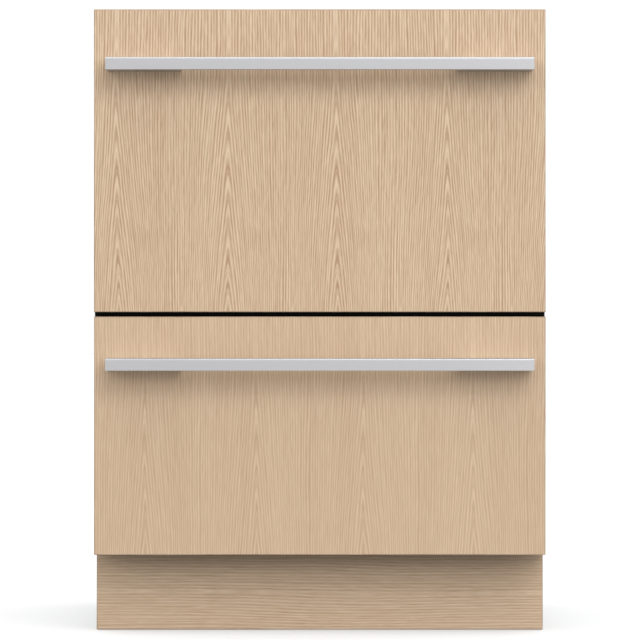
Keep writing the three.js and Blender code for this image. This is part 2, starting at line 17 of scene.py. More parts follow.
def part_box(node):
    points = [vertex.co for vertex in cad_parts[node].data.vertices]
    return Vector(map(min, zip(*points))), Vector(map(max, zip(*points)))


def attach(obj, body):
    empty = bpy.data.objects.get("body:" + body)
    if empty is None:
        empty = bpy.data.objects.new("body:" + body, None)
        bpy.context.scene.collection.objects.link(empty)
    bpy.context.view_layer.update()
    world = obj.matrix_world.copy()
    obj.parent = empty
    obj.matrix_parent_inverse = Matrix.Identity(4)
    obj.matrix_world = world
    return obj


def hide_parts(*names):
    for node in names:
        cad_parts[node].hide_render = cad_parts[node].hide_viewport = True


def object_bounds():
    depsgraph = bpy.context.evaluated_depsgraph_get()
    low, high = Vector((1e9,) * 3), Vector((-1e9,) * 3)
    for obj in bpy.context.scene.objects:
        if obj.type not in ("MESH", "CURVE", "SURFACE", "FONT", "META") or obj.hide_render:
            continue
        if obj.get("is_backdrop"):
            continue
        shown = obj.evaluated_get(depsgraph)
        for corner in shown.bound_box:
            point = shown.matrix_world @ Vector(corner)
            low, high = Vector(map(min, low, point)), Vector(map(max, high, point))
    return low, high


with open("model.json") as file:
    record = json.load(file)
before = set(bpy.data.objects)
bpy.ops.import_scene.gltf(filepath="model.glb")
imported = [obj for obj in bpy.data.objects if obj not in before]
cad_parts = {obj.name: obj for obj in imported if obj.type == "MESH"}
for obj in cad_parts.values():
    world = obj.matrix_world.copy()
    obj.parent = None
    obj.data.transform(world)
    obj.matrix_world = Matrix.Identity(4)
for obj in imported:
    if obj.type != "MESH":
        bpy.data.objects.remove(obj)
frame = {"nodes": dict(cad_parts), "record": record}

cad_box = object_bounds()
scene = bpy.context.scene
cad = frame["nodes"]
MM = 0.001
LEVELS = ("lower", "upper")
SIDES = {"left": -1, "right": 1}

# %% [markdown]
# ## The camera
# The picture was taken head on with a long lens. The toe kick stands 63 mm further back than the doors,
# yet comes out only 1.2% narrower, and a perspective camera 5 m away does the same. The camera is level,
# because the doors' sides come out parallel. It is as high as the middle of the doors, because neither
# bar shows its top or underside.

# %% Place the camera
PHOTO_PIXELS = 640
DOOR_PIXELS = 451.7  # width of a door in the photo
DOOR_CENTRE_PIXEL = 319.75  # across the photo
CAMERA_DISTANCE = 5.0  # to the faces of the doors
CAMERA_HEIGHT = 0.4145

door_low, door_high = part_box("upper_door_panel")
metres_per_pixel = (door_high.x - door_low.x) / DOOR_PIXELS
camera_x = (PHOTO_PIXELS / 2 - DOOR_CENTRE_PIXEL) * metres_per_pixel
camera_data = bpy.data.cameras.new("camera")
camera_data.sensor_width = 36
camera_data.lens = camera_data.sensor_width * CAMERA_DISTANCE / (PHOTO_PIXELS * metres_per_pixel)
camera = bpy.data.objects.new("camera", camera_data)
camera.location = (camera_x, door_low.y - CAMERA_DISTANCE, CAMERA_HEIGHT)
camera.rotation_euler = (math.radians(90), 0, 0)
scene.collection.objects.link(camera)
scene.camera = camera
print(f"{metres_per_pixel / MM:.3f} mm a pixel, lens {camera_data.lens:.0f} mm")

# %% [markdown]
# ## A small language for nodes
# A finish is a graph of shader nodes, and a shape can be a graph of geometry nodes. Linking dozens of
# them by hand hides the idea. So a number that changes over a surface is wrapped in a class that has the
# usual operators, and `1 - mask * 0.3` adds two Math nodes. Every other node comes from one method, which
# sets the node's settings first and then gives its sockets their values or links.

# %% Value and Graph
def socket_of(sockets, key):
    if isinstance(key, int):
        return sockets[key]
    return next(s for s in sockets if key in (s.identifier, s.name))


class Value:
    """A number, vector, colour or geometry that comes out of a node."""

    def __init__(self, graph, socket):
        self.graph = graph
        self.socket = socket

    def math(self, operation, *others, first=None):
        inputs = [self, *others] if first is None else [first, self]
        return self.graph.node("ShaderNodeMath", {"operation": operation}, dict(enumerate(inputs)))

    def __add__(self, other):
        return self.math("ADD", other)

    def __sub__(self, other):
        return self.math("SUBTRACT", other)

    def __rsub__(self, other):
        return self.math("SUBTRACT", first=other)

    def __mul__(self, other):
        return self.math("MULTIPLY", other)

    def __truediv__(self, other):
        return self.math("DIVIDE", other)

    def step(self, low, high):
        """0 below low, 1 above high, and a smooth rise between."""
        settings = {"interpolation_type": "SMOOTHSTEP"}
        inputs = {"Value": self, "From Min": low, "From Max": high}
        return self.graph.node("ShaderNodeMapRange", settings, inputs)


class Graph:
    """A tree of nodes, made and linked by one method."""

    def __init__(self, tree):
        self.nodes = tree.nodes
        self.links = tree.links
        self.nodes.clear()

    def node(self, kind, settings=(), inputs=(), output=0):
        made = self.nodes.new(kind)
        for key, value in dict(settings).items():
            setattr(made, key, value)
        for key, value in dict(inputs).items():
            socket = socket_of(made.inputs, key)
            if isinstance(value, Value):
                self.links.new(value.socket, socket)
            else:
                socket.default_value = value
        return None if output is None else Value(self, socket_of(made.outputs, output))


# %% [markdown]
# ## Finishes
# Every finish reads Object coordinates. They are metres in the machine's own frame, so a pattern keeps
# its real size and goes along with a drawer that opens. Noise is scaled apart on each axis, which
# stretches it along a grain.

# %% Finish
class Finish(Graph):
    """A material whose patterns are expressions on Values."""

    def __init__(self, name):
        self.material = bpy.data.materials.new(name)
        self.material.use_nodes = True
        super().__init__(self.material.node_tree)
        self.place = self.node("ShaderNodeTexCoord", output="Object")

    def along(self, axis):
        return self.node("ShaderNodeSeparateXYZ", (), {0: self.place}, output=axis)

    def noise_at(self, place, detail):
        inputs = {"Vector": place, "Scale": 1.0, "Detail": detail}
        return self.node("ShaderNodeTexNoise", (), inputs)

    def noise(self, per_metre, detail=2.0):
        """Noise from 0 to 1. per_metre is about how many features there are on each axis."""
        scale = per_metre if isinstance(per_metre, (tuple, list)) else [per_metre] * 3
        inputs = {0: self.place, 1: scale}
        scaled = self.node("ShaderNodeVectorMath", {"operation": "MULTIPLY"}, inputs)
        return self.noise_at(scaled, detail)

    def cells(self, per_metre):
        """A random grey for each cell of a crystal pattern."""
        inputs = {"Vector": self.place, "Scale": per_metre}
        colour = self.node("ShaderNodeTexVoronoi", (), inputs, output="Color")
        return self.node("ShaderNodeSeparateColor", (), {0: colour}, output=0)

    def blend(self, factor, a, b):
        inputs = {"Factor_Float": factor, "A_Color": a, "B_Color": b}
        return self.node("ShaderNodeMix", {"data_type": "RGBA"}, inputs, output="Result_Color")

    def surface(self, colour, roughness, relief=None, depth=0.1 * MM, **uniform):
        """The shader. What is the same all over, such as Metallic=1.0, is set on its own socket."""
        inputs = {"Base Color": colour, "Roughness": roughness}
        inputs |= {key.replace("_", " "): value for key, value in uniform.items()}
        if relief is not None:
            inputs["Normal"] = self.node("ShaderNodeBump", (), {"Height": relief, "Distance": depth})
        shader = self.node("ShaderNodeBsdfPrincipled", (), inputs)
        self.node("ShaderNodeOutputMaterial", (), {"Surface": shader}, output=None)
        return self.material


def linear(red, green, blue, light=1.0):
    """A picture's colour from 0 to 255, as the share of light that a surface lit this brightly sends
    back."""
    shares = [c / 255 for c in (red, green, blue)]
    return (*(((s + 0.055) / 1.055) ** 2.4 / light for s in shares), 1.0)


def shaded(colour, share):
    """A colour with this share of its brightness."""
    return (*(share * c for c in colour[:3]), 1.0)


print("nodes come from Graph.node")

# %% [markdown]
# ## Light and floor
# The photo has a white ground, soft shadows under the bars, and a toe kick that is dark under the door
# and bright at the floor. How fast both shadows fade tells where the light comes from: most of it from 10
# to 25 degrees up, some from above, and little from below. The world is white with that profile. The
# floor is left out of what lights matt surfaces, because a white floor would send back what the photo
# doesn't have, but metal still reflects it. One large lamp in front gives the shadow that each bar throws
# on the door below itself. A near lamp to the right, which only gloss reflects, makes the right ends of
# the bars brighter, as they are in the photo. Both lamps are hidden from the camera, since other views
# would look into them.

# %% Studio
WORLD_BELOW = 0.2
WORLD_LEVELS = (  # strength, and the heights of a direction between which it is reached
    (1.06, -0.07, -0.005),  # the ground behind the machine, just white
    (1.95, 0.1, 0.25),
    (0.7, 0.35, 0.6),
    (2.7, 0.8, 0.95),  # straight above, which the upper edges of the bars reflect
)
LAMPS = {
    "lamp": {"up": 38, "aside": 24, "distance": 6.0, "size": (4.0, 1.6), "watts": 85},
    "sheen": {"up": 5, "aside": 35, "distance": 2.0, "size": (1.0, 1.0), "watts": 7, "matt": False},
}
DOOR_LIGHT = 1.035  # how bright a white card would be at the doors' faces


def lamp(name, up, aside, distance, size, watts, matt=True):
    """A soft rectangular lamp that faces the machine's middle, so many degrees up and to the right of the
    front. With matt=False only gloss shows its light."""
    data = bpy.data.lights.new(name, "AREA")
    data.shape = "RECTANGLE"
    data.size, data.size_y = size
    data.energy = watts
    made = bpy.data.objects.new(name, data)
    up, aside = math.radians(up), math.radians(aside)
    towards = Vector((math.sin(aside) * math.cos(up), -math.cos(aside) * math.cos(up), math.sin(up)))
    made.location = Vector((0, 0, CAMERA_HEIGHT)) + towards * distance
    made.rotation_euler = towards.to_track_quat("Z", "Y").to_euler()
    made.visible_camera = False
    made.visible_diffuse = matt
    scene.collection.objects.link(made)


world = bpy.data.worlds.new("studio")
world.use_nodes = True
sky = Graph(world.node_tree)
way = sky.node("ShaderNodeTexCoord", output="Generated")
height = sky.node("ShaderNodeSeparateXYZ", (), {0: way}, output="Z")
strength = before = WORLD_BELOW
for level, start, end in WORLD_LEVELS:
    strength = height.step(start, end) * (level - before) + strength
    before = level
glow = sky.node("ShaderNodeBackground", (), {"Color": (1, 1, 1, 1), "Strength": strength})
sky.node("ShaderNodeOutputWorld", (), {"Surface": glow}, output=None)
scene.world = world
scene.view_settings.view_transform = "Standard"
for name, sizes in LAMPS.items():
    lamp(name, **sizes)
print(len(LAMPS), "lamps and a world of", len(WORLD_LEVELS) + 1, "levels")

# %% Floor
FLOOR_REACH = 40.0
FLOOR_GLOW = 0.42

floor_finish = Finish("studio_floor")
cloud = floor_finish.noise(2.5) * 0.1
floor_colour = floor_finish.blend(cloud, (0.5, 0.5, 0.5, 1), (0.45, 0.45, 0.45, 1))
glowing = {"Emission_Color": (1, 1, 1, 1), "Emission_Strength": FLOOR_GLOW}
FLOOR = floor_finish.surface(floor_colour, 0.9, Specular_IOR_Level=0.0, **glowing)
floor_mesh = bpy.data.meshes.new("floor")
corners = [(x * FLOOR_REACH, y * FLOOR_REACH, 0) for x, y in ((-1, -1), (1, -1), (1, 1), (-1, 1))]
floor_mesh.from_pydata(corners, [], [(0, 1, 2, 3)])
floor_mesh.materials.append(FLOOR)
studio_floor = bpy.data.objects.new("studio_floor", floor_mesh)
studio_floor.visible_diffuse = False
scene.collection.objects.link(studio_floor)
studio_floor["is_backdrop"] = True
print("floor of", 2 * FLOOR_REACH, "m")

# %% [markdown]
# ## Oak veneer
# Veneer is sliced off a log and laid side by side in leaves about 145 mm wide, so each door shows one
# figure four times. At the sides of a leaf the knife ran across the growth rings, which leaves straight
# lines. In its middle it ran along them, and there the lines lean together and meet in narrow arches. So
# a point is given a ring, which is its distance from the leaf's middle less what the arches have risen
# there. A wave of 3.8 mm along the rings is the year's growth, unsteady in width and strength. Noise that
# is fine across the rings and long along them draws the rows of short pores, so all lines break every few
# centimetres. The lower door is calmer, and the toe kick's grain lies level.

# %% The oak finish
LEAF = 0.1447  # width of a leaf
TIP = 0.0022  # radius of an arch's tip
OAK_LIGHT = (linear(233, 206, 173, DOOR_LIGHT), linear(230, 205, 175, DOOR_LIGHT))
OAK_DARK = (linear(184, 151, 119, DOOR_LIGHT), linear(188, 151, 116, DOOR_LIGHT))


def oak(name, across, grain, contrast, arch=0.0, middle=0.0, top=0.0, lines=860.0, rings=266.0, shade=1.0):
    """across and grain name axes. arch is the slope of the arches, which start under top. There are so many
    lines and rings to a metre."""
    f = Finish(name)
    along = f.along(grain)

    def stretched(fine, long, detail=2.0):
        """Noise with so many features per metre across the grain, and along it."""
        per_metre = {across: fine, grain: long}
        return f.noise([per_metre.get(axis, fine) for axis in "XYZ"], detail) - 0.5

    sway = stretched(8, 2.0) * 0.018 + stretched(45, 7) * 0.0035
    leaf = (f.along(across) + sway - middle) / LEAF + 0.5
    aside = (leaf - leaf.math("FLOOR") - 0.5) * LEAF
    distance = (aside * aside + TIP**2).math("SQRT")
    below = (top - along).math("MAXIMUM", 0.0)
    risen = below * below / (below + 0.05) * arch * (1.0 - distance.step(0.008, 0.07))
    ring = distance - risen

    def along_rings(per_metre, long, detail):
        inputs = {"X": ring * per_metre, "Y": along * long, "Z": aside * 22.0}
        return f.noise_at(f.node("ShaderNodeCombineXYZ", (), inputs), detail) - 0.5

    line = along_rings(lines, 26.0, 1.0)
    pore = along_rings(lines * 1.7, 60.0, 1.0)
    growth = along_rings(lines * 0.42, 6.0, 1.0)
    unsteady = along_rings(150.0, 5.0, 1.0) * 6.0
    broken = (along_rings(240.0, 16.0, 1.0) * 2.4 + 1.0).math("MAXIMUM", 0.1)
    row = (ring * (math.tau * rings) + unsteady).math("SINE") * broken
    band = stretched(26, 1.2, 3.0)
    dark = line * (2.2 * contrast) + pore * (2.4 * contrast) + growth * (0.5 * contrast)
    dark = dark + row * (0.8 * contrast) + band * 0.3 + 0.47
    dark = dark.math("MAXIMUM", 0.0).math("MINIMUM", 1.0)
    warm = stretched(17, 0.9).step(-0.2, 0.2)
    woods = [f.blend(warm, *(shaded(tone, shade) for tone in tones)) for tones in (OAK_LIGHT, OAK_DARK)]
    return f.surface(f.blend(dark, *woods), dark * 0.14 + 0.5, dark, 0.025 * MM, Coat_Weight=0.05)


KICK_GRAIN = {"middle": 0.05, "lines": 620.0, "rings": 250.0, "shade": 0.95}
OAK = {
    "upper": oak("oak_upper", "X", "Z", contrast=0.44, arch=0.10, middle=-0.266, top=0.74),
    "lower": oak("oak_lower", "X", "Z", contrast=0.21, arch=0.08, middle=-0.231, top=0.36),
    "kick": oak("oak_toe_kick", "Z", "X", contrast=0.25, **KICK_GRAIN),
}
# The edge strips' oak at 0.66 of its brightness: painted shade, for the dark line along each board's edges.
EDGE_PAINTED_SHADE = 0.66
OAK_EDGE = {
    "upright": oak("oak_edge_upright", "Y", "Z", contrast=0.35, shade=EDGE_PAINTED_SHADE),
    "level": oak("oak_edge_level", "Y", "X", contrast=0.35, shade=EDGE_PAINTED_SHADE),
}
print("oak in", len(OAK["upper"].node_tree.nodes), "nodes")

# %% [markdown]
# ## Metals
# Brushed aluminium has hair-fine scratches along the bar, so its roughness and relief are noise with
# 4,000 features per metre across them and 6 along. Zinc on sheet steel grows in crystals a few
# millimetres wide, each of its own grey, which cells of a Voronoi pattern give. Runners are rolled
# bright, so they streak along their length.

# %% Metal finishes
def brushed(name, colour, low, high, per_metre, depth):
    """Metal between two colours, roughness low to high, scratched as per_metre says."""
    f = Finish(name)
    scratch = f.noise(per_metre, 3.0)
    patch = f.noise(7.0)
    tone = f.blend(scratch * 0.7 + patch * 0.3, colour, shaded(colour, 0.86))
    return f.surface(tone, scratch * (high - low) + low, scratch, depth * MM, Metallic=1.0)


def galvanised(name, colour):
    f = Finish(name)
    crystal = f.cells(190.0)
    small = f.cells(420.0)
    cloud = f.noise(5.0)
    mixed = crystal * 0.55 + small * 0.25 + cloud * 0.2
    tone = f.blend(mixed, shaded(colour, 0.5), colour)
    return f.surface(tone, mixed * 0.25 + 0.32, crystal, 0.02 * MM, Metallic=1.0)


ALUMINIUM = brushed("aluminium", linear(178, 178, 180), 0.26, 0.42, (6, 4000, 4000), 0.004)
ZINC = galvanised("zinc_coat", linear(170, 174, 178))
BRIGHT = brushed("bright_rolled", linear(158, 160, 163), 0.2, 0.34, (900, 8, 900), 0.003)
STAINLESS = brushed("stainless", linear(175, 176, 178), 0.2, 0.33, (1500, 30, 1500), 0.003)
SCREW = brushed("screw_zinc", linear(140, 142, 138), 0.28, 0.42, (900, 900, 900), 0.01)
print("metals ready")

# %% [markdown]
# ## Plastics and rubber
# Moulded plastic carries the fine spark-eroded grain of its mould, so small noise drives its relief. Flow
# and handling leave slow changes in its gloss, which broad noise drives. Coated wire has the pebbled skin
# of a dipped coat, and rubber the same at a softer scale, with a dusty bloom.

# %% Moulded finishes
def moulded(name, colour, roughness, grain=2600.0, depth=0.02, bloom=0.10, **uniform):
    """Plastic or rubber of one colour, with grains per metre and a bloom that lightens it in patches."""
    f = Finish(name)
    fine = f.noise(grain, 2.0)
    slow = f.noise(11.0, 3.0)
    speck = f.noise(420.0, 2.0).step(0.55, 0.75)
    lighter = tuple(c + (1.0 - c) * bloom * 0.5 for c in colour[:3]) + (1.0,)
    tone = f.blend(slow * 0.75 + speck * 0.25, shaded(colour, 1.0 - bloom), lighter)
    return f.surface(tone, slow * 0.12 + fine * 0.08 + roughness - 0.08, fine, depth * MM, **uniform)


BLACK = moulded("black_moulding", linear(10, 10, 10), 0.6, bloom=0.003, Specular_IOR_Level=0.09)
KEY = moulded("key_cap", linear(158, 162, 165), 0.38, depth=0.008)
TRAY = moulded("tray_moulding", linear(62, 64, 66), 0.55, bloom=0.05)
TUB = moulded("tub_moulding", linear(186, 189, 191), 0.34, depth=0.012)
LID = moulded("lid_moulding", linear(150, 153, 156), 0.42)
RUBBER = moulded("rubber", linear(44, 45, 46), 0.72, 1500.0, 0.03, bloom=0.05)
SPRAY = moulded("spray_moulding", linear(112, 117, 121), 0.34, depth=0.01)
MOTOR = moulded("motor_moulding", linear(40, 43, 46), 0.45, bloom=0.04)
COAT = moulded("wire_coat", linear(142, 148, 154), 0.36, 1800.0, 0.03)
WHITE = moulded("white_moulding", linear(222, 223, 223), 0.32, depth=0.008)
FOOT = moulded("foot_moulding", linear(32, 33, 34), 0.55, bloom=0.03)
VALVE = moulded("valve_moulding", linear(228, 228, 222), 0.4)
print(len(bpy.data.materials), "materials")

# %% [markdown]
# ## Tools for shapes
# Five kinds of shape cover the machine: a slab with rounded edges, a skin through a row of rings, a
# turned piece, an outline pushed along an axis, and a tube along a path. All take millimetres, in the
# machine's frame, and give a bmesh in metres. `piece` puts several together as one mesh whose object
# stays at the origin. Rounded edges matter most, because an edge with no radius never catches light the
# way a real one does.

# %% Slab, skin, turned, pushed, tube
UP = {
    "X": Matrix.Rotation(math.radians(90), 4, "Y"),
    "Y": Matrix.Rotation(math.radians(-90), 4, "X"),
    "Z": Matrix(),
}


def at(x=0.0, y=0.0, z=0.0):
    """The move to a place."""
    return Matrix.Translation((x * MM, y * MM, z * MM))


def bevelled(shape, edges, radius, steps, clamped=False):
    settings = {"offset": radius * MM, "segments": steps, "profile": 0.5, "affect": "EDGES"}
    bmesh.ops.bevel(shape, geom=edges, clamp_overlap=clamped, **settings)
    return shape


def slab(low, high, edge=0.0, steps=2):
    """A box between two opposite corners. edge is the radius of its edges."""
    shape = bmesh.new()
    bmesh.ops.create_cube(shape, size=1.0)
    for vert in shape.verts:
        vert.co = [((a + b) / 2 + c * abs(b - a)) * MM for a, b, c in zip(low, high, vert.co)]
    return bevelled(shape, shape.edges[:], edge, steps) if edge else shape


def skin(rings, closed=False):
    """A closed shell through rings of as many points each, capped at both ends or joined in a loop."""
    shape = bmesh.new()
    loops = [[shape.verts.new([c * MM for c in point]) for point in ring] for ring in rings]
    following = loops[1:] + loops[:1] if closed else loops[1:]
    for one, other in zip(loops, following):
        for i in range(len(one)):
            j = (i + 1) % len(one)
            shape.faces.new((one[i], one[j], other[j], other[i]))
    if not closed:
        shape.faces.new(loops[0][::-1])
        shape.faces.new(loops[-1])
    bmesh.ops.remove_doubles(shape, verts=shape.verts[:], dist=1e-6)
    loose = [face for face in shape.faces if face.calc_area() < 1e-12]
    bmesh.ops.delete(shape, geom=loose, context="FACES")
    bmesh.ops.recalc_face_normals(shape, faces=shape.faces[:])
    return shape


def arc(radius, first, last, count, x=0.0, y=0.0):
    """Pairs of numbers on an arc about x and y. first and last are its ends, in degrees."""
    turns = [math.radians(first + (last - first) * i / (count - 1)) for i in range(count)]
    return [(x + radius * math.cos(t), y + radius * math.sin(t)) for t in turns]


def circle(radius, height, sides):
    turns = (2 * math.pi * i / sides for i in range(sides))
    return [(radius * math.cos(t), radius * math.sin(t), height) for t in turns]


def turned(profile, centre=(0, 0, 0), axis="Z", sides=48, closed=False):
    """A turned piece from pairs of radius and height. A radius of 0 closes it on the axis, and closed makes
    a ring."""
    rings = [circle(max(radius, 1e-4), height, sides) for radius, height in profile]
    return placed(skin(rings, closed), at(*centre) @ UP[axis])


def placed(shape, matrix):
    """A copy of a shape, moved by a matrix. A mirrored copy is turned the right way out."""
    shape = shape.copy()
    bmesh.ops.transform(shape, matrix=matrix, verts=shape.verts[:])
    if matrix.determinant() < 0:
        bmesh.ops.reverse_faces(shape, faces=shape.faces[:])
    return shape


def rounded(x, y, radius, z, corner=8, straight=1):
    """A ring of points: a rectangle with round corners, level at z."""
    (x0, x1), (y0, y1) = (x[0] + radius, x[1] - radius), (y[0] + radius, y[1] - radius)
    arcs = [
        [(*pair, z) for pair in arc(radius, start, start + 90, corner, *middle)]
        for middle, start in (((x1, y0), -90), ((x1, y1), 0), ((x0, y1), 90), ((x0, y0), 180))
    ]
    ring = []
    for each, after in zip(arcs, arcs[1:] + arcs[:1]):
        ring += each
        start, end = Vector(each[-1]), Vector(after[0])
        ring += [tuple(start.lerp(end, i / straight)) for i in range(1, straight)]
    return ring


def pushed(outline, axis, low, high, edge=0.0, steps=2):
    """A flat outline, pushed along an axis. X pushes pairs of y and z, Y pairs of x and z, Z of x and y."""
    def point(pair, along):
        return {"X": (along, *pair), "Y": (pair[0], along, pair[1]), "Z": (*pair, along)}[axis]

    shape = skin([[point(pair, along) for pair in outline] for along in (low, high)])
    if edge:
        corners = [e for e in shape.edges if e.is_manifold and e.calc_face_angle() > math.radians(30)]
        bevelled(shape, corners, edge, steps, clamped=True)
    return shape


def tube(points, radius, sides=6):
    """A round rod along points. Its sections turn as little as they can from one to the next."""
    path = [Vector(p) for p in points]
    rings = []
    side = (path[1] - path[0]).orthogonal()
    for i, here in enumerate(path):
        way = (path[min(i + 1, len(path) - 1)] - path[max(i - 1, 0)]).normalized()
        side = (side - way * side.dot(way)).normalized()
        other = way.cross(side)
        turns = (2 * math.pi * k / sides for k in range(sides))
        rings.append([here + radius * (math.cos(t) * side + math.sin(t) * other) for t in turns])
    return skin(rings)


print("tools for shapes ready")

# %% [markdown]
# ## Pieces
# Every piece takes its body and its place from the CAD node that it stands for. A detail with
# no node of its own, such as a screw, goes along with the node that carries it.

# %% Piece
BODY = {node: body for body, nodes in frame["record"]["behaviour"]["bodies"].items() for node in nodes}
SLOT = {node: object_.data.materials[0].name for node, object_ in cad.items()}
SHARP = math.radians(32)
made_pieces = []


def meshed(name, parts):
    """One mesh from pairs of a shape, or a mesh, and its finish. A finish may be a list, picked by face."""
    whole = bmesh.new()
    finishes = []
    for shape, finish in parts:
        part = shape
        if isinstance(shape, bmesh.types.BMesh):
            part = bpy.data.meshes.new("part")
            shape.to_mesh(part)
        for face in part.polygons:
            face.material_index += len(finishes)
        finishes += finish if isinstance(finish, list) else [finish]
        whole.from_mesh(part)
        bpy.data.meshes.remove(part)
    mesh = bpy.data.meshes.new(name)
    whole.to_mesh(mesh)
    for finish in finishes:
        mesh.materials.append(finish)
    mesh.shade_smooth()
    mesh.set_sharp_from_angle(angle=SHARP)
    return mesh


def holding(mesh):
    """An object in the scene with this mesh."""
    holder = bpy.data.objects.new(mesh.name, mesh)
    scene.collection.objects.link(holder)
    return holder


def plain_mesh(holder):
    """The mesh that an object's modifiers make. The object goes."""
    made = bpy.data.meshes.new_from_object(holder.evaluated_get(bpy.context.evaluated_depsgraph_get()))
    bpy.data.objects.remove(holder)
    return made


def with_flat_faces(mesh):
    """The same mesh, shaded so that rounded edges don't bend the light on the broad faces beside them."""
    holder = holding(mesh)
    weighted = holder.modifiers.new("weighted", "WEIGHTED_NORMAL")
    weighted.keep_sharp = True
    return plain_mesh(holder)


def piece(name, node, *parts):
    """A finished object in a CAD node's place."""
    mesh = with_flat_faces(meshed("shading", parts))
    mesh.name = name
    made = holding(mesh)
    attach(made, BODY[node])
    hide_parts(node)
    made_pieces.append(made)


def span(node):
    """The low and high corners of a node in mm, as six numbers: x0, x1, y0, y1, z0, z1."""
    return [c / MM for pair in zip(*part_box(node)) for c in pair]


def middles(node):
    """The middle of a node's box."""
    x0, x1, y0, y1, z0, z1 = span(node)
    return (x0 + x1) / 2, (y0 + y1) / 2, (z0 + z1) / 2


def top_of(node):
    return span(node)[-1]


print(len(BODY), "nodes on bodies")

# %% [markdown]
# ## Patterns in Geometry Nodes
# Screws, ribs, wires, threads and perforations repeat, so Geometry Nodes make them: a change of one
# number moves all of them. A pattern is a tree with named sizes. It ends in Realize Instances and Set
# Material, and what it makes is turned into a plain mesh at once, because an export drops instances.

# %% Pattern
class Pattern(Graph):
    """A Geometry Nodes tree with named sizes in mm. make() gives a mesh and its finish, for piece()."""

    KINDS = {int: "NodeSocketInt", float: "NodeSocketFloat", tuple: "NodeSocketVector"}
    COUNTS = ("Count", "Sides", "Turns")

    def __init__(self, name, **sizes):
        self.tree = bpy.data.node_groups.new(name, "GeometryNodeTree")
        super().__init__(self.tree)
        sockets = {"Geometry": "NodeSocketGeometry", "Finish": "NodeSocketMaterial"}
        sockets |= {key: self.KINDS[type(value)] for key, value in sizes.items()}
        self.tree.interface.new_socket("Geometry", in_out="OUTPUT", socket_type="NodeSocketGeometry")
        for key, kind in sockets.items():
            made = self.tree.interface.new_socket(key, in_out="INPUT", socket_type=kind)
            if key in sizes:
                made.default_value = self.metres(key, sizes[key])
        entry = self.nodes.new("NodeGroupInput")
        self.size = {key: Value(self, socket_of(entry.outputs, key)) for key in sockets}

    def metres(self, key, value):
        if key in self.COUNTS:
            return value
        return tuple(each * MM for each in value) if isinstance(value, tuple) else value * MM

    def on_points(self, points, **more):
        """The pattern's shape on points."""
        inputs = {"Points": points, "Instance": self.size["Geometry"], **more}
        return self.node("GeometryNodeInstanceOnPoints", (), inputs)

    def along_line(self, step, **more):
        """Count copies of the shape, each a step from the one before."""
        inputs = {"Count": self.size["Count"], "Offset": step}
        points = self.node("GeometryNodeMeshLine", {"mode": "OFFSET"}, inputs)
        return self.on_points(points, **more)

    def swept(self, curve, sides, radius):
        """A round rod along a curve."""
        inputs = {"Resolution": sides, "Radius": radius}
        section = self.node("GeometryNodeCurvePrimitiveCircle", {"mode": "RADIUS"}, inputs)
        inputs = {"Curve": curve, "Profile Curve": section, "Fill Caps": True}
        return self.node("GeometryNodeCurveToMesh", (), inputs)

    def end(self, geometry):
        real = self.node("GeometryNodeRealizeInstances", (), {0: geometry})
        inputs = {"Geometry": real, "Material": self.size["Finish"]}
        painted = self.node("GeometryNodeSetMaterial", (), inputs)
        self.node("NodeGroupOutput", (), {0: painted}, output=None)
        return self

    def make(self, finish, start=None, place=Matrix(), **sizes):
        mesh = bpy.data.meshes.new("pattern")
        if start is not None:
            start.to_mesh(mesh)
        holder = holding(mesh)
        modifier = holder.modifiers.new("pattern", "NODES")
        modifier.node_group = self.tree
        wanted = {key: self.metres(key, value) for key, value in sizes.items()} | {"Finish": finish}
        for item in self.tree.interface.items_tree:
            if item.in_out == "INPUT" and item.name in wanted:
                modifier[item.identifier] = wanted[item.name]
        made = plain_mesh(holder)
        made.transform(place)
        return made, finish


# %% Rows, rings, wires, threads
NO_STEP = (0.0, 0.0, 0.0)


def row_pattern():
    """Copies of a shape along a line."""
    p = Pattern("row", Count=2, Step=NO_STEP)
    return p.end(p.along_line(p.size["Step"]))


def ring_pattern():
    """Copies of a shape round the Z axis, each turned to face outwards."""
    p = Pattern("ring", Count=6)
    angle = p.node("GeometryNodeInputIndex") * (2 * math.pi) / p.size["Count"]
    turn = p.node("ShaderNodeCombineXYZ", (), {"Z": angle})
    return p.end(p.along_line(NO_STEP, Rotation=turn))


def wire_pattern():
    """Round wires along paths, with rounded bends. A row of them when Count is more than 1."""
    p = Pattern("wires", Count=1, Step=NO_STEP, Radius=1.6, Bend=8.0, Sides=8)
    rows = p.node("GeometryNodeRealizeInstances", (), {0: p.along_line(p.size["Step"])})
    curves = p.node("GeometryNodeMeshToCurve", (), {0: rows})
    inputs = {"Curve": curves, "Radius": p.size["Bend"], "Limit Radius": True, "Count": 4}
    bent = p.node("GeometryNodeFilletCurve", {"mode": "POLY"}, inputs)
    return p.end(p.swept(bent, p.size["Sides"], p.size["Radius"]))


def thread_pattern():
    """A screw thread round the Z axis, from 0 up."""
    p = Pattern("thread", Radius=5.0, Turns=10.0, Height=15.0, Depth=0.5)
    radii = {"Start Radius": p.size["Radius"], "End Radius": p.size["Radius"]}
    inputs = {"Resolution": 20, "Rotations": p.size["Turns"], "Height": p.size["Height"], **radii}
    spiral = p.node("GeometryNodeCurveSpiral", (), inputs)
    return p.end(p.swept(spiral, 4, p.size["Depth"]))


ROW = row_pattern()
RING = ring_pattern()
WIRES = wire_pattern()
THREAD = thread_pattern()
print("4 patterns")

# %% Paths, cuts and fasteners
def path(points, closed=False):
    """Edges through points, for the wire pattern."""
    shape = bmesh.new()
    verts = [shape.verts.new([c * MM for c in point]) for point in points]
    for pair in list(zip(verts, verts[1:])) + [(verts[-1], verts[0])] * closed:
        shape.edges.new(pair)
    return shape


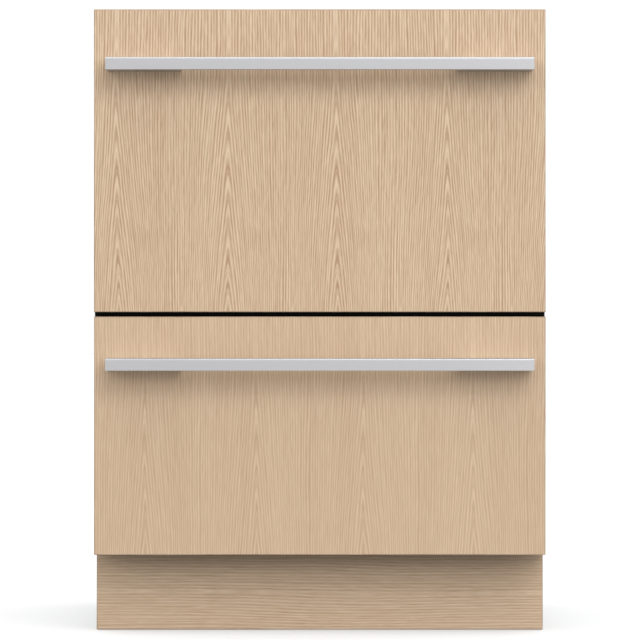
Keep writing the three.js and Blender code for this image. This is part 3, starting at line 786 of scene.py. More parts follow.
def cut(shape, *cutters):
    """A shape with others taken out of it."""
    objects = []
    for each in (shape, *cutters):
        mesh = bpy.data.meshes.new("cut")
        each.to_mesh(mesh)
        objects.append(holding(mesh))
    holder, *tools = objects
    for tool in tools:
        difference = holder.modifiers.new("cut", "BOOLEAN")
        difference.operation = "DIFFERENCE"
        difference.solver = "EXACT"
        difference.object = tool
    mesh = plain_mesh(holder)
    for tool in tools:
        bpy.data.objects.remove(tool)
    made = bmesh.new()
    made.from_mesh(mesh)
    bpy.data.meshes.remove(mesh)
    return made


def screw_head(radius, height, axis="Z", side=1):
    """A domed head with a cross recess, which points along an axis from 0, or against it when side is -1."""
    dome = [(0, 0), (radius, 0), (radius, 0.35 * height), (0.82 * radius, 0.8 * height)]
    head = turned(dome + [(0.45 * radius, height), (0, height)], sides=20)
    narrow, wide, deep = 0.13 * radius, 0.6 * radius, 0.55 * height
    arms = [
        slab((-a, -b, height - deep), (a, b, height + deep))
        for a, b in ((wide, narrow), (narrow, wide))
    ]
    return placed(cut(head, *arms), Matrix.Scale(side, 4, (1, 0, 0)) @ UP[axis])


def row(finish, shape, start=(0, 0, 0), count=1, step=NO_STEP):
    """A row of a shape from a place on."""
    return ROW.make(finish, placed(shape, at(*start)), Count=count, Step=tuple(step))


print("screws ready")

# %% [markdown]
# ## Doors and toe kick
# Each board is chipboard, 18 mm thick, with veneer on its faces and a strip of the same oak glued round
# its edges. The strips are drawn at 0.66 of the oak's brightness, which is painted shade: from the front
# they show as the fine dark line round each board. So the box gets eased edges and a narrow border on its
# front, and whatever doesn't look to the front or lies in that border takes the strip's finish with its
# painted shade, with its grain along it.

# %% Boards
EASED = 0.5
# A border this wide on each board's front takes the edge strips' finish: a painted dark line, painted shade
# at the edge.
PAINTED_SHADE_BORDER = 0.8  # of the strip's thickness, beside the eased edge
FACING = 0.97  # a face looks along y when its normal has this much of it


def banded(node, face, upright, level):
    """A board whose faces take one finish, and whose edges and a thin border on its front take the darker
    finishes of their strips: painted shade.
    """
    x0, x1, y0, y1, z0, z1 = span(node)
    shape = slab((x0, y0, z0), (x1, y1, z1), EASED, 3)
    broad = [polygon for polygon in shape.faces if abs(polygon.normal.y) > FACING]
    border = bmesh.ops.inset_individual(shape, faces=broad, thickness=PAINTED_SHADE_BORDER * MM)["faces"]
    middle = Vector(middles(node)) * MM
    for polygon in shape.faces:
        away = polygon.normal
        if polygon in border:
            away = polygon.calc_center_median() - middle
            away = Vector((away.x / (x1 - x0), 0, away.z / (z1 - z0)))
        if abs(away.y) < FACING:
            polygon.material_index = 1 if abs(away.x) > abs(away.z) else 2
    return shape, [face, upright, level]


boards = {"lower_door_panel": "lower", "upper_door_panel": "upper", "toe_kick": "kick"}
for node, figure in boards.items():
    piece(f"{node}_board", node, banded(node, OAK[figure], OAK_EDGE["upright"], OAK_EDGE["level"]))
print(len(boards), "boards")

# %% [markdown]
# ## Handles
# A handle is a flat aluminium bar on two wide feet of the same stock. The bar is brushed along its length
# and eased along its long edges, and its upper edge catches the light in one bright line. That line
# starts a little under the top, which a round edge does and a chamfer doesn't: its uppermost part mirrors
# the door. So the section is an outline with one round corner, pushed along the bar, and a fine bevel
# rounds what is still sharp.

# %% Bars and feet
TOP_ROUND = 2.8
UNDER_EASE = 0.4


def bar_outline(y0, y1, z0, z1):
    """The section of the bar, in y and z."""
    e, r = UNDER_EASE, TOP_ROUND
    top = arc(r, 90, 180, 7, y0 + r, z1 - r)
    return [(y0 + e, z0), (y1 - e, z0), (y1, z0 + e), (y1, z1 - e), (y1 - e, z1), *top, (y0, z0 + e)]


for level in LEVELS:
    x0, x1, *section = span(f"{level}_handle_bar")
    bar = pushed(bar_outline(*section), "X", x0, x1, 0.12)
    piece(f"{level}_bar", f"{level}_handle_bar", (bar, ALUMINIUM))
    for side in SIDES:
        x0, x1, y0, y1, z0, z1 = span(f"{level}_handle_foot_{side}")
        foot = slab((x0, y0, z0), (x1, y1, z1), 0.6)
        piece(f"{level}_bar_foot_{side}", f"{level}_handle_foot_{side}", (foot, ALUMINIUM))
print("2 bars, 4 feet")

# %% [markdown]
# ## Front frames and keys
# Behind each door hangs a black moulded frame. The door is screwed to it, and its upper edge carries a
# strip with two keys. When the drawer is shut only the strip of black between the doors shows. The keys
# travel 1 mm, so each needs a real pocket. The pockets are cut with a Boolean, since nothing else leaves
# such clean inside corners. The frame's back has ribs against twist and the heads of the door's screws,
# both as rows.

# %% Frames
POCKET_GAP = 0.3
POCKET_DEPTH = 5.5
STRIP_INSET = 7.5  # from the frame's sides
STRIP_HEIGHT = 8
FRAME_WALL = 12
FRAME_RIBS = 16
RIBS_INSET = 20  # from the frame's sides
RIBS_UP = {"lower": 6, "upper": 30}  # the upper frame passes the cross member
GIRDERS = (0.2, 0.5, 0.8)  # shares of the ribs' height
SCREW_ROWS = (0.12, 0.62)  # shares of the frame's height, with a screw after every other rib

for level in LEVELS:
    x0, x1, y0, y1, z0, z1 = span(f"{level}_front_frame")
    back = y0 + FRAME_WALL
    g = POCKET_GAP
    keys = [span(f"{level}_{key}_key") for key in ("power", "start")]
    pockets = [
        slab((a0 - g, b0 - g, z1 - POCKET_DEPTH), (a1 + g, b1 + g, z1 + 1))
        for a0, a1, b0, b1, _, _ in keys
    ]
    wall = slab((x0, y0, z0), (x1, back, z1), 1.2, 3)
    strip = slab((x0 + STRIP_INSET, back - 3, z1 - STRIP_HEIGHT), (x1 - STRIP_INSET, y1, z1), 1, 3)
    parts = [(cut(wall, *pockets), BLACK), (cut(strip, *pockets), BLACK)]
    rim = top_of(f"{level}_tub")
    foot = z0 + RIBS_UP[level]
    step = (x1 - x0 - 2 * RIBS_INSET) / (FRAME_RIBS - 1)
    rib = slab((-0.9, back - 1, foot), (0.9, back + 7, rim - 12), 0.4)
    parts.append(row(BLACK, rib, (x0 + RIBS_INSET, 0, 0), FRAME_RIBS, (step, 0, 0)))
    girder = slab((x0 + 12, back - 1, 0), (x1 - 12, back + 6, 2), 0.4)
    parts += [row(BLACK, girder, (0, 0, foot + share * (rim - foot))) for share in GIRDERS]
    head = screw_head(4.2, 2.2, "Y")
    for share in SCREW_ROWS:
        start = (x0 + RIBS_INSET + step / 2, back, z0 + share * (z1 - z0))
        parts.append(row(SCREW, head, start, FRAME_RIBS // 2, (step * 2, 0, 0)))
    piece(f"{level}_frame", f"{level}_front_frame", *parts)
print(FRAME_RIBS, "ribs and", FRAME_RIBS // 2 * len(SCREW_ROWS), "screws on each frame")

# %% Keys
def key_cap(node):
    """A cap with a shallow dish in its top, drawn as rings of a rounded rectangle."""
    x0, x1, y0, y1, z0, z1 = span(node)
    steps = ((0, z0), (0, z1 - 1), (0.3, z1 - 0.35), (0.9, z1), (1.5, z1), (2.4, z1 - 0.3))
    return skin([rounded((x0 + i, x1 - i), (y0 + i, y1 - i), 2.6 - 0.6 * i, z, 6) for i, z in steps])


def on_off_mark():
    bow = [(*pair, 0) for pair in arc(1.5, 130, 410, 16)]
    return [tube(bow, 0.2), tube([(0, 0.4, 0), (0, 2, 0)], 0.2)]


def go_mark():
    return [pushed([(-1.2, -1.4), (1.5, 0), (-1.2, 1.4)], "Z", -0.1, 0.2)]


for level in LEVELS:
    for key, mark in (("power", on_off_mark), ("start", go_mark)):
        node = f"{level}_{key}_key"
        dish = at(*middles(node)[:2], top_of(node) - 0.3)
        marks = [(placed(shape, dish), BLACK) for shape in mark()]
        piece(f"{level}_{key}_cap", node, (key_cap(node), KEY), *marks)
print("4 keys")

# %% [markdown]
# ## Tubs
# A tub is one moulding of polypropylene: a box with big corner radii, a flange round its rim for the
# lid's seal, and a round sump in its floor. A box with cut corners would look sharp inside, where the
# real one has a fillet everywhere. So its wall is one skin through rings. The rings run from the middle
# of the underside, up the outside, over the flange, and down the inside to the sump. A circle with as
# many points as the rounded rectangle lets the same skin turn from one into the other. Ribs under the
# flange stiffen the sides.

# %% The tub's rings
TUB_WALL = 3
TUB_CORNER = 42
FLANGE_CORNER = 30
TUB_INSET = {"side": 11.7, "front": 15.4, "back": 15.0}  # tub's wall inside its flange
SUMP_DEEP = 25  # the whole sump, with its bottom
SUMP = 98
LEDGE = 104
CORNER_POINTS = 10
SIDE_POINTS = 7


def walls(node):
    """The outside of a tub's walls under its flange: x, y, the rim's z, and the floor's z."""
    x0, x1, y0, y1, z0, z1 = span(node)
    x = (x0 + TUB_INSET["side"], x1 - TUB_INSET["side"])
    return x, (y0 + TUB_INSET["front"], y1 - TUB_INSET["back"]), z1, z0 + SUMP_DEEP


def box_ring(x, y, corner, inset, z):
    """A rounded rectangle, inset from x and y, with the tub's count of points."""
    inside = (x[0] + inset, x[1] - inset), (y[0] + inset, y[1] - inset)
    return rounded(*inside, max(corner - inset, 1), z, CORNER_POINTS, SIDE_POINTS)


def sump_ring(y, radius, z):
    """A circle about the tub's middle, with the same count of points, in line with the box's corners."""
    count = 4 * (CORNER_POINTS + SIDE_POINTS - 1)
    first = -45 - (CORNER_POINTS - 1) / 2 * 360 / count
    pairs = arc(radius, first, first + 360, count + 1, 0, (y[0] + y[1]) / 2)
    return [(*pair, z) for pair in pairs[:-1]]


def tub_shell(node):
    x, y, rim, floor = walls(node)
    fx0, fx1, fy0, fy1, bottom, _ = span(node)
    under = floor - TUB_WALL
    ways = {
        "flange": lambda inset, z: box_ring((fx0, fx1), (fy0, fy1), FLANGE_CORNER, inset, z),
        "outside": lambda inset, z: box_ring(x, y, TUB_CORNER, inset, z),
        "inside": lambda inset, z: box_ring(x, y, TUB_CORNER, TUB_WALL + inset, z),
        "sump": lambda radius, z: sump_ring(y, radius, z),
    }
    course = (  # what to draw, from which height, and pairs of inset or radius and rise
        ("sump", bottom, (LEDGE, 0), (LEDGE + 3, 3)),
        ("sump", under, (LEDGE + 3, 0)),
        ("outside", under, (16, 0), (10, 1.5), (4.7, 5), (1.2, 10), (0, 16)),
        ("outside", rim, (0, -10), (-1.2, -7), (-3, -6)),
        ("flange", rim, (0.8, -6), (0, -5.2), (0, -1.2), (0.4, -0.4), (1.4, 0)),
        ("inside", rim, (-3.4, 0), (-1.2, -0.4), (-0.3, -1.4), (0, -3), (0, -54), (1.4, -57)),
        ("inside", floor, (1.4, 16), (2.4, 9), (5.6, 4), (10.2, 1), (14.2, 0)),
        ("sump", floor, (126, 0), (124, -0.9), (108, -0.9), (LEDGE + 0.5, -1.2), (LEDGE, -2), (LEDGE, -4)),
        ("sump", floor, (SUMP, -4), (SUMP - 1, -5), (SUMP - 4, -19), (SUMP - 10, -22), (12, -22)),
    )
    return skin([ways[way](first, base + rise) for way, base, *pairs in course for first, rise in pairs])


# %% Tubs with their ribs
TUB_RIBS = 11
RIB_HALF = 0.9

for level in LEVELS:
    node = f"{level}_tub"
    x, y, rim, floor = walls(node)
    parts = [(tub_shell(node), TUB)]
    step = (y[1] - y[0] - 2 * TUB_CORNER) / (TUB_RIBS - 1)
    for side in SIDES.values():
        for low, high in ((rim - 98, rim - 6.5), (floor + 18, rim - 158)):
            rib = slab((side * (x[1] - 1), -RIB_HALF, low), (side * (x[1] + 5.5), RIB_HALF, high), 0.5)
            parts.append(row(TUB, rib, (0, y[0] + TUB_CORNER, 0), TUB_RIBS, (0, step, 0)))
    step = (x[1] - x[0] - 2 * TUB_CORNER) / (TUB_RIBS - 1)
    rib = slab((-RIB_HALF, y[1] - 1, floor + 18), (RIB_HALF, y[1] + 6, rim - 6.5), 0.5)
    parts.append(row(TUB, rib, (x[0] + TUB_CORNER, 0, 0), TUB_RIBS, (step, 0, 0)))
    piece(f"{level}_tub_moulding", node, *parts)
print("a tub has", len(made_pieces[-1].data.polygons), "faces")

# %% [markdown]
# ## Filter plates
# The filter is a stainless disc over the sump with about a thousand holes in it. A pattern fills a ring
# with six-sided tiles, each with a hole of its own, on the points of two grids that are half a pitch
# apart. The points that fall outside the ring are deleted. Each tile is closed and has only 24 faces, so
# the whole plate stays light.

# %% Perforated sheet
HOLE_PITCH = 5.2
HOLE_RADIUS = 1.75
PLATE = 1.2


def tile():
    """A six-sided tile with a six-sided hole."""
    outer = HOLE_PITCH / math.sqrt(3)
    corners = ((outer, 0), (outer, PLATE), (HOLE_RADIUS, PLATE), (HOLE_RADIUS, 0))
    rings = [circle(radius, height, 6) for radius, height in corners]
    return placed(skin(rings, closed=True), Matrix.Rotation(math.radians(30), 4, "Z"))


def perforated_pattern():
    p = Pattern("perforated", Inner=20.0, Outer=95.0, Pitch=HOLE_PITCH)
    across, deep = p.size["Pitch"], p.size["Pitch"] * math.sqrt(3)
    width = p.size["Outer"] * 2.1
    both = p.nodes.new("GeometryNodeJoinGeometry")
    for half in (0.0, 0.5):
        inputs = {}
        for axis, pitch in (("X", across), ("Y", deep)):
            count = (width / pitch).math("FLOOR")
            inputs |= {f"Size {axis}": count * pitch, f"Vertices {axis}": count + 1}
        grid = p.node("GeometryNodeMeshGrid", (), inputs)
        shift = p.node("ShaderNodeCombineXYZ", (), {"X": across * half, "Y": deep * half})
        moved = p.node("GeometryNodeTransform", (), {"Geometry": grid, "Translation": shift})
        p.links.new(moved.socket, both.inputs[0])
    place = p.node("GeometryNodeInputPosition")
    radius = p.node("ShaderNodeVectorMath", {"operation": "LENGTH"}, {0: place}, output="Value")
    outside = radius.math("GREATER_THAN", p.size["Outer"]) + radius.math("LESS_THAN", p.size["Inner"])
    inputs = {"Geometry": Value(p, both.outputs[0]), "Selection": outside}
    return p.end(p.on_points(p.node("GeometryNodeDeleteGeometry", {"domain": "POINT"}, inputs)))


# %% Filter plates
PERFORATED = perforated_pattern()
PLATE_HOLE = 13

for level in LEVELS:
    x0, x1, y0, y1, z0, z1 = span(f"{level}_filter_plate")
    y = (y0 + y1) / 2
    edge = (x1 - x0) / 2
    holes = PERFORATED.make(STAINLESS, tile(), at(0, y, z1 - 2.2), Inner=25.0, Outer=edge - 9.5)
    rim = [(edge - 11, z0 + 0.6), (edge - 11, z1 - 0.5), (edge - 9.6, z1), (edge - 1, z1), (edge, z1 - 0.6)]
    rim += [(edge, z0 + 0.3), (edge - 1, z0 + 0.1)]
    collar = [(PLATE_HOLE, z0), (PLATE_HOLE, z1 - 0.6), (PLATE_HOLE + 1, z1), (27, z1), (28.5, z1 - 0.8)]
    collar += [(28.5, z0 + 0.6)]
    loops = [(turned(profile, (0, y, 0), sides=72, closed=True), STAINLESS) for profile in (rim, collar)]
    bolt = placed(screw_head(3, 0.6), at(edge - 5))
    bolts = RING.make(SCREW, bolt, at(0, y, z1 - 0.6), Count=6)
    piece(f"{level}_filter", f"{level}_filter_plate", holes, *loops, bolts)
print("a filter has", len(made_pieces[-1].data.polygons), "faces")

# %% [markdown]
# ## Wash motors
# Each motor hangs under its sump. Its can is moulded with fins that shed heat, and it has a bolted top
# flange, a cap below and a plug. The fins and bolts stand in rings about the shaft. The shaft itself is
# steel and turns the arm.

# %% Motors
FINS = 40

for level in LEVELS:
    x0, x1, y0, y1, z0, z1 = span(f"{level}_wash_motor")
    top = span(f"{level}_tub")[4] - 0.3
    middle = (0, (y0 + y1) / 2, 0)
    r = (x1 - x0) / 2
    can = [(0, z0 + 2), (30, z0 + 2), (32, z0), (46, z0), (48, z0 + 2), (54, z0 + 3), (57, z0 + 6)]
    can += [(58, top - 10), (61, top - 8), (r - 1, top - 8), (r, top - 7), (r, top - 1), (r - 1, top)]
    can.append((0, top))
    shaft = [(0, top - 1), (6, top - 1), (6, z1 - 1), (5, z1), (0, z1)]
    fin = slab((56, -0.9, z0 + 7), (66, 0.9, top - 7.5), 0.5)
    fins = RING.make(MOTOR, fin, at(*middle), Count=FINS)
    head = placed(screw_head(3.2, 2), at(65) @ Matrix.Rotation(math.pi, 4, "X"))
    bolts = RING.make(SCREW, head, at(0, middle[1], top - 8), Count=8)
    plug = slab((-14, y0 + 1, z0 + 8), (14, y0 + 20, z0 + 24), 1.2)
    pin = slab((-1, y0 + 0.2, z0 + 12), (1, y0 + 4, z0 + 20), 0.2)
    pins = row(WHITE, pin, (-9, 0, 0), 4, (6, 0, 0))
    parts = [(turned(can, middle, sides=64), MOTOR), (turned(shaft, middle, sides=24), STAINLESS)]
    piece(f"{level}_motor", f"{level}_wash_motor", *parts, fins, bolts, (plug, WHITE), pins)
print("2 motors with", FINS, "fins each")

# %% [markdown]
# ## Spray arms
# An arm is a moulding that water turns. It is widest at its hub and narrows to round tips. Its section is
# a squashed circle, so a skin through such sections, each as wide as the arm is there, gives the whole
# arm with its tips. The nozzles are small cones along it, set at a lean that makes the arm spin.

# %% Spray arms
ARM_LOW = 6  # over the hub's lower face
ARM_HIGH = 3  # under the hub's upper face
ARM_HALF = 21  # half its width at the hub
ARM_TAPER = 7
ARM_TIP = 15
SHAFT_BORE = 6.5
BORE_TOP = 5  # under the hub's upper face
NOZZLES = (52, 84, 116, 148, 178, 202)
NOZZLE_LEAN = 16
NOZZLE_ASIDE = 4.5


def squashed(x, middle, half_width, half_height, z, points=28):
    """A section of the arm across y: a circle, squashed towards a rectangle."""
    ring = []
    for c, s in arc(1, 0, 360, points + 1)[:-1]:
        across = math.copysign(abs(c) ** 0.6, c) * half_width
        ring.append((x, middle + across, z + math.copysign(abs(s) ** 0.75, s) * half_height))
    return ring


def arm_section(share, reach, middle, z, thick):
    """The arm's section at a share of its reach, from -1 to 1."""
    out = max((abs(share) * reach - (reach - ARM_TIP)) / ARM_TIP, 0)
    tip = math.sqrt(max(1 - out**2, 0))
    width = (ARM_HALF - ARM_TAPER * abs(share)) * max(tip, 0.02)
    return squashed(reach * share, middle, width, thick * (0.55 + 0.45 * tip) * max(tip, 0.3), z)


for level in LEVELS:
    _, x1, y0, y1, z0, z1 = span(f"{level}_spray_arm")
    centre = (0, (y0 + y1) / 2, 0)
    low, high = z0 + ARM_LOW, z1 - ARM_HIGH
    shares = [math.sin(math.pi / 2 * (i / 20 - 1)) for i in range(41)]
    rings = [arm_section(share, x1, centre[1], (low + high) / 2, (high - low) / 2) for share in shares]
    roof = z1 - BORE_TOP
    bore = turned([(0, z0 - 1), (SHAFT_BORE, z0 - 1), (SHAFT_BORE, roof), (0, roof)], centre)
    hub = [(0, roof), (SHAFT_BORE, roof), (SHAFT_BORE, z0), (20, z0), (22, z0 + 2), (22, z1 - 3)]
    hub += [(20, z1 - 1), (14, z1 - 0.4), (13, z1), (5, z1), (4, z1 - 1.2), (0, z1 - 1.2)]
    rib = slab((12, -1, z1 - 4), (21, 1, z1 - 0.8), 0.4)
    parts = [(cut(skin(rings), bore), SPRAY), (turned(hub, centre), SPRAY)]
    parts.append(RING.make(SPRAY, rib, at(*centre), Count=10))
    cone = [(0, -1.5), (5.2, -1.5), (4.2, 0.9), (2.6, 1.1), (1.6, 0.2), (0, 0.2)]
    nozzle = turned(cone, sides=20)
    for side in SIDES.values():
        for i, out in enumerate(NOZZLES):
            aside = (NOZZLE_ASIDE if i % 2 else -NOZZLE_ASIDE) * side
            place = at(side * out, centre[1] + aside, high - 0.6)
            lean = Matrix.Rotation(math.radians(NOZZLE_LEAN * side), 4, "X")
            parts.append((placed(nozzle, place @ lean), SPRAY))
    piece(f"{level}_arm", f"{level}_spray_arm", *parts)
print(2 * len(NOZZLES), "nozzles on each arm")

# %% [markdown]
# ## Racks
# A rack is bent from coated steel wire. Each wire of its basket is one long U: up one wall, across the
# floor and up the other. Three rings tie them, rows of tines hold plates upright, and four corner posts
# stand on the tub's floor. All of these are paths, so one pattern repeats a path, rounds its bends and
# gives it a round section. The wires of one direction lie on top of those of the other, as they do where
# they are welded.

# %% Baskets
WIRE = 1.7  # radius of the basket's wires
RIM_WIRE = 2.0
WALL_HALF = 2  # half the thickness of the CAD model's walls of wire
CAD_BARS = {"across": 7, "along": 6}  # spaces between the CAD model's wires
TINE_ROWS = (2, 5)  # which of the wires across carry tines
TINE_TOP = 62
TINE_BALL = 2.3
TINE_LEAN = 1.5
RACK_LEGS = 39.7  # lower ends of the posts, under the basket's floor
RACK_RINGS = (80, 34)  # heights of two rings over the floor; the third is the rim
POST_IN = 4.4  # from the basket's corner to a post, and to its foot
FOOT_IN = 15
FOOT_BALL = 2.9


def ball(place, radius):
    shape = bmesh.new()
    bmesh.ops.create_icosphere(shape, subdivisions=2, radius=radius * MM)
    return placed(shape, at(*place))


for level in LEVELS:
    node = f"{level}_rack"
    x0, x1, y0, y1, z0, z1 = span(node)
    x, y, top = (x0 + WALL_HALF, x1 - WALL_HALF), (y0 + WALL_HALF, y1 - WALL_HALF), z1 - WALL_HALF
    floor = z0 + RACK_LEGS
    across, along = 2 * CAD_BARS["across"], 2 * CAD_BARS["along"]
    step_x, step_y = (x[1] - x[0]) / across, (y[1] - y[0]) / along
    low = floor + 1.7
    over = low + 1.8 * WIRE
    bend = {"Radius": WIRE, "Bend": 13.0}
    u_across = path([(x[0], y[0], top), (x[0], y[0], low), (x[1], y[0], low), (x[1], y[0], top)])
    u_along = path([(x[0], y[0], top), (x[0], y[0], over), (x[0], y[1], over), (x[0], y[1], top)])
    parts = [
        WIRES.make(COAT, u_across, at(0, step_y), Count=along - 1, Step=(0, step_y, 0), **bend),
        WIRES.make(COAT, u_along, at(step_x), Count=across - 1, Step=(step_x, 0, 0), **bend),
    ]
    for z, radius in ((top, RIM_WIRE), *((floor + up, WIRE) for up in RACK_RINGS)):
        loop = path([(x[0], y[0], z), (x[1], y[0], z), (x[1], y[1], z), (x[0], y[1], z)], closed=True)
        parts.append(WIRES.make(COAT, loop, Radius=radius, Bend=15.0))
    for side_x, corner_x in ((1, x[0]), (-1, x[1])):
        for side_y, corner_y in ((1, y[0]), (-1, y[1])):
            upper, lower = [
                (corner_x + side_x * inner, corner_y + side_y * inner) for inner in (POST_IN, FOOT_IN)
            ]
            foot = (*lower, z0 + FOOT_BALL)
            post = path([(*upper, top), (*upper, floor + 24), (*lower, floor - 4), foot])
            parts.append(WIRES.make(COAT, post, Radius=RIM_WIRE, Bend=10.0))
            parts.append((ball(foot, FOOT_BALL), BLACK))
    first = y[0] + 2 * step_y
    tines = along - 3
    rows = {"Count": tines, "Step": (0, step_y, 0)}
    for bar in TINE_ROWS:
        bar_x = x[0] + 2 * step_x * bar
        tip = (bar_x, first + TINE_LEAN, floor + TINE_TOP - 2.4)
        parts.append(WIRES.make(COAT, path([(bar_x, first, low), tip]), Radius=WIRE, **rows))
        parts.append(ROW.make(COAT, ball(tip, TINE_BALL), **rows))
        ends = (first - 6, first + (tines - 1) * step_y + 6)
        parts.append(WIRES.make(COAT, path([(bar_x, end, low + 9) for end in ends]), Radius=WIRE))
    piece(f"{level}_basket", node, *parts)
print("a basket has", len(made_pieces[-1].data.polygons), "faces")

# %% [markdown]
# ## Cup shelf
# The cup shelf is a small grid on the left wall of the upper basket. Its outer rod is its hinge. The same
# wire pattern draws it: four rods along it, and seventeen thinner wires across them.

# %% Shelf
CROSS_WIRES = 17
RODS = (0, 0.34, 0.67, 1)  # shares of the shelf's width

x0, x1, y0, y1, z0, z1 = span("upper_cup_shelf")
r = (z1 - z0) / 2
z = (z0 + z1) / 2
y = (y0 + r, y1 - r)
cross = path([(x0 + r, y[0], z), (x1 - 8, y[0], z), (x1 - r, y[0], z + 0.1)])
step = (0, (y[1] - y[0]) / (CROSS_WIRES - 1), 0)
shelf = [WIRES.make(COAT, cross, Radius=0.9 * r, Bend=2.0, Count=CROSS_WIRES, Step=step)]
for share in RODS:
    rod_x = x0 + r + share * (x1 - x0 - 2 * r)
    shelf.append(WIRES.make(COAT, path([(rod_x, y[0] - 0.5 * r, z), (rod_x, y[1] + 0.5 * r, z)]), Radius=r))
piece("upper_shelf", "upper_cup_shelf", *shelf)
print(CROSS_WIRES, "wires across the shelf")

# %% [markdown]
# ## Lids and seals
# When a drawer shuts, a lid comes down on its rim. The lid is a tray with ribs on its upper side, which
# keep a thin moulding flat, and it hangs on two pins at each side. Its seal is a soft bulb all round. The
# bulb is a section taken round a rounded rectangle, so its skin joins its last ring to its first.

# %% Lids
LID_CORNER = 20
LID_SIDE = 4.3  # lid's side to the ends of its pins
LONG_RIBS = 9
WIDE_RIBS = 8
RIB_INSET = 6
BOSSES = 4
PIN = 3
PIN_IN = 90  # from the lid's front and back

for level in LEVELS:
    x0, x1, y0, y1, z0, z1 = span(f"{level}_lid")
    x = (x0 + LID_SIDE, x1 - LID_SIDE)
    course = [(12, z0 + 0.6), (10, z0), (1.2, z0), (0, z0 + 1.2), (0, z1 - 1), (0.9, z1), (4.4, z1)]
    course += [(5.2, z1 - 0.8), (5.8, z0 + 4.6), (7, z0 + 3.8)]
    parts = [(skin([box_ring(x, (y0, y1), LID_CORNER, inset, z) for inset, z in course]), LID)]
    step_x = (x[1] - x[0]) / (LONG_RIBS + 1)
    step_y = (y1 - y0) / (WIDE_RIBS + 1)
    long_rib = slab((-1, y0 + RIB_INSET, z0 + 3), (1, y1 - RIB_INSET, z1 - 1.2), 0.5)
    wide_rib = slab((x[0] + RIB_INSET, -1, z0 + 3), (x[1] - RIB_INSET, 1, z1 - 2.2), 0.5)
    boss = turned([(0, z0 + 3), (7, z0 + 3), (6.4, z1 - 0.8), (0, z1 - 0.8)], sides=28)
    parts.append(row(LID, long_rib, (x[0] + step_x, 0, 0), LONG_RIBS, (step_x, 0, 0)))
    parts.append(row(LID, wide_rib, (0, y0 + step_y, 0), WIDE_RIBS, (0, step_y, 0)))
    parts.append(row(LID, boss, (x[0] + 2 * step_x, y0 + 4.5 * step_y, 0), BOSSES, (2 * step_x, 0, 0)))
    for side in SIDES.values():
        root = side * (x[1] - 4)
        reach = side * x1 - root
        profile = [(0, 0), (PIN, 0), (PIN, reach - side * 0.8), (PIN - 0.8, reach), (0, reach)]
        for y in (y0 + PIN_IN, y1 - PIN_IN):
            parts.append((turned(profile, (root, y, (z0 + z1) / 2), "X", 24), STAINLESS))
    piece(f"{level}_lid_moulding", f"{level}_lid", *parts)
print("2 lids")

# %% Seals
SEAL_CORNER = 23
SEAL_SECTION = (  # pairs of inset and height, once round the section
    (0, 0.9), (0.5, 0.2), (1.6, 0), (5.4, 0), (6.5, 0.2), (7, 0.9), (6.6, 1.6), (5.6, 2.0),
    (5.6, 2.7), (4.1, 2.7), (3.9, 2.2), (3.1, 2.2), (2.9, 2.7), (1.4, 2.7), (1.4, 2.0), (0.4, 1.6),
)

for level in LEVELS:
    x0, x1, y0, y1, z0, z1 = span(f"{level}_lid_seal")
    rings = [box_ring((x0, x1), (y0, y1), SEAL_CORNER, inset, z0 + up) for inset, up in SEAL_SECTION]
    piece(f"{level}_seal", f"{level}_lid_seal", (skin(rings, closed=True), RUBBER))
print("2 seals")

# %% [markdown]
# ## Detergent dispensers
# The dispenser is a white moulding on the front wall of the tub. It has a square cup behind a door that
# slides aside, two rails that guide the door, and a round cap for rinse aid. The door passes over the
# cap, so the cap's grip lies in a round recess. The cup and the recess are cut, as hollows that something
# has to go into.

# %% Dispensers
CUP_INSET = 8
CUP = 52
CUP_DEEP = 12
CUP_LINES = 3
RAIL_PROUD = 3.8  # of the guides, in front of the dispenser's face
RIDGES = 7  # on the door, for a finger

for level in LEVELS:
    x0, x1, y0, y1, z0, z1 = span(f"{level}_dispenser")
    face = y1 - RAIL_PROUD
    bottom = face - CUP_DEEP
    middle = (z0 + z1) / 2
    cup_x = (x0 + CUP_INSET, x0 + CUP_INSET + CUP)
    cup = slab((cup_x[0], bottom, middle - CUP / 2), (cup_x[1], face + 5, middle + CUP / 2), 4, 4)
    cap_x = (cup_x[1] + x1) / 2 + 1
    at_cap = (cap_x, face, middle)
    well = turned([(0, -5), (21, -5), (22, 2), (0, 2)], at_cap, "Y")
    body = cut(slab((x0, y0, z0), (x1, face, z1), 2.5, 4), cup, well)
    cap = turned([(0, -5.5), (20, -5.5), (20, -3), (19, -2), (16, -2), (15, -3), (0, -3)], at_cap, "Y")
    grip = slab((cap_x - 15, face - 4, middle - 2.4), (cap_x + 15, face - 0.6, middle + 2.4), 1, 3)
    a0, a1, b0, b1, c0, c1 = span(f"{level}_dispenser_door")
    rails = [slab((x0 + 1, face - 1, low), (x1 - 1, y1, low + 4), 0.8, 3) for low in (c0 - 4.3, c1 + 0.3)]
    line = slab((cup_x[0] + 14, bottom - 0.5, middle - 18), (cup_x[1] - 14, bottom + 1, middle - 17), 0.3)
    parts = [(body, WHITE), (cap, KEY), (grip, KEY), *((rail, WHITE) for rail in rails)]
    parts.append(row(KEY, line, count=CUP_LINES, step=(0, 0, 10)))
    piece(f"{level}_dispenser_body", f"{level}_dispenser", *parts)

    door = slab((a0, b0, c0), (a1, b1, c1), 0.9, 3)
    dish = slab((a0 + 14, b1 - 0.9, c0 + 10), (a1 - 14, b1 + 2, c1 - 10), 0.6)
    ridge = slab((a0 + 17, b1 - 1.4, -0.9), (a1 - 17, b1 - 0.2, 0.9), 0.5)
    ridges = row(KEY, ridge, (0, 0, c0 + 17), RIDGES, (0, 0, 4))
    piece(f"{level}_dispenser_slide", f"{level}_dispenser_door", (cut(door, dish), KEY), ridges)
print("2 dispensers")

# %% [markdown]
# ## Runners
# Three channels nest on each side: the outer one is screwed to the chassis, the inner one to the tub, and
# the middle one runs between them at half the speed. They are rolled from strip, so their corners are
# round. Balls in a cage carry the load. The cage here sits in the hollow of the middle channel, where the
# inner one passes over it.

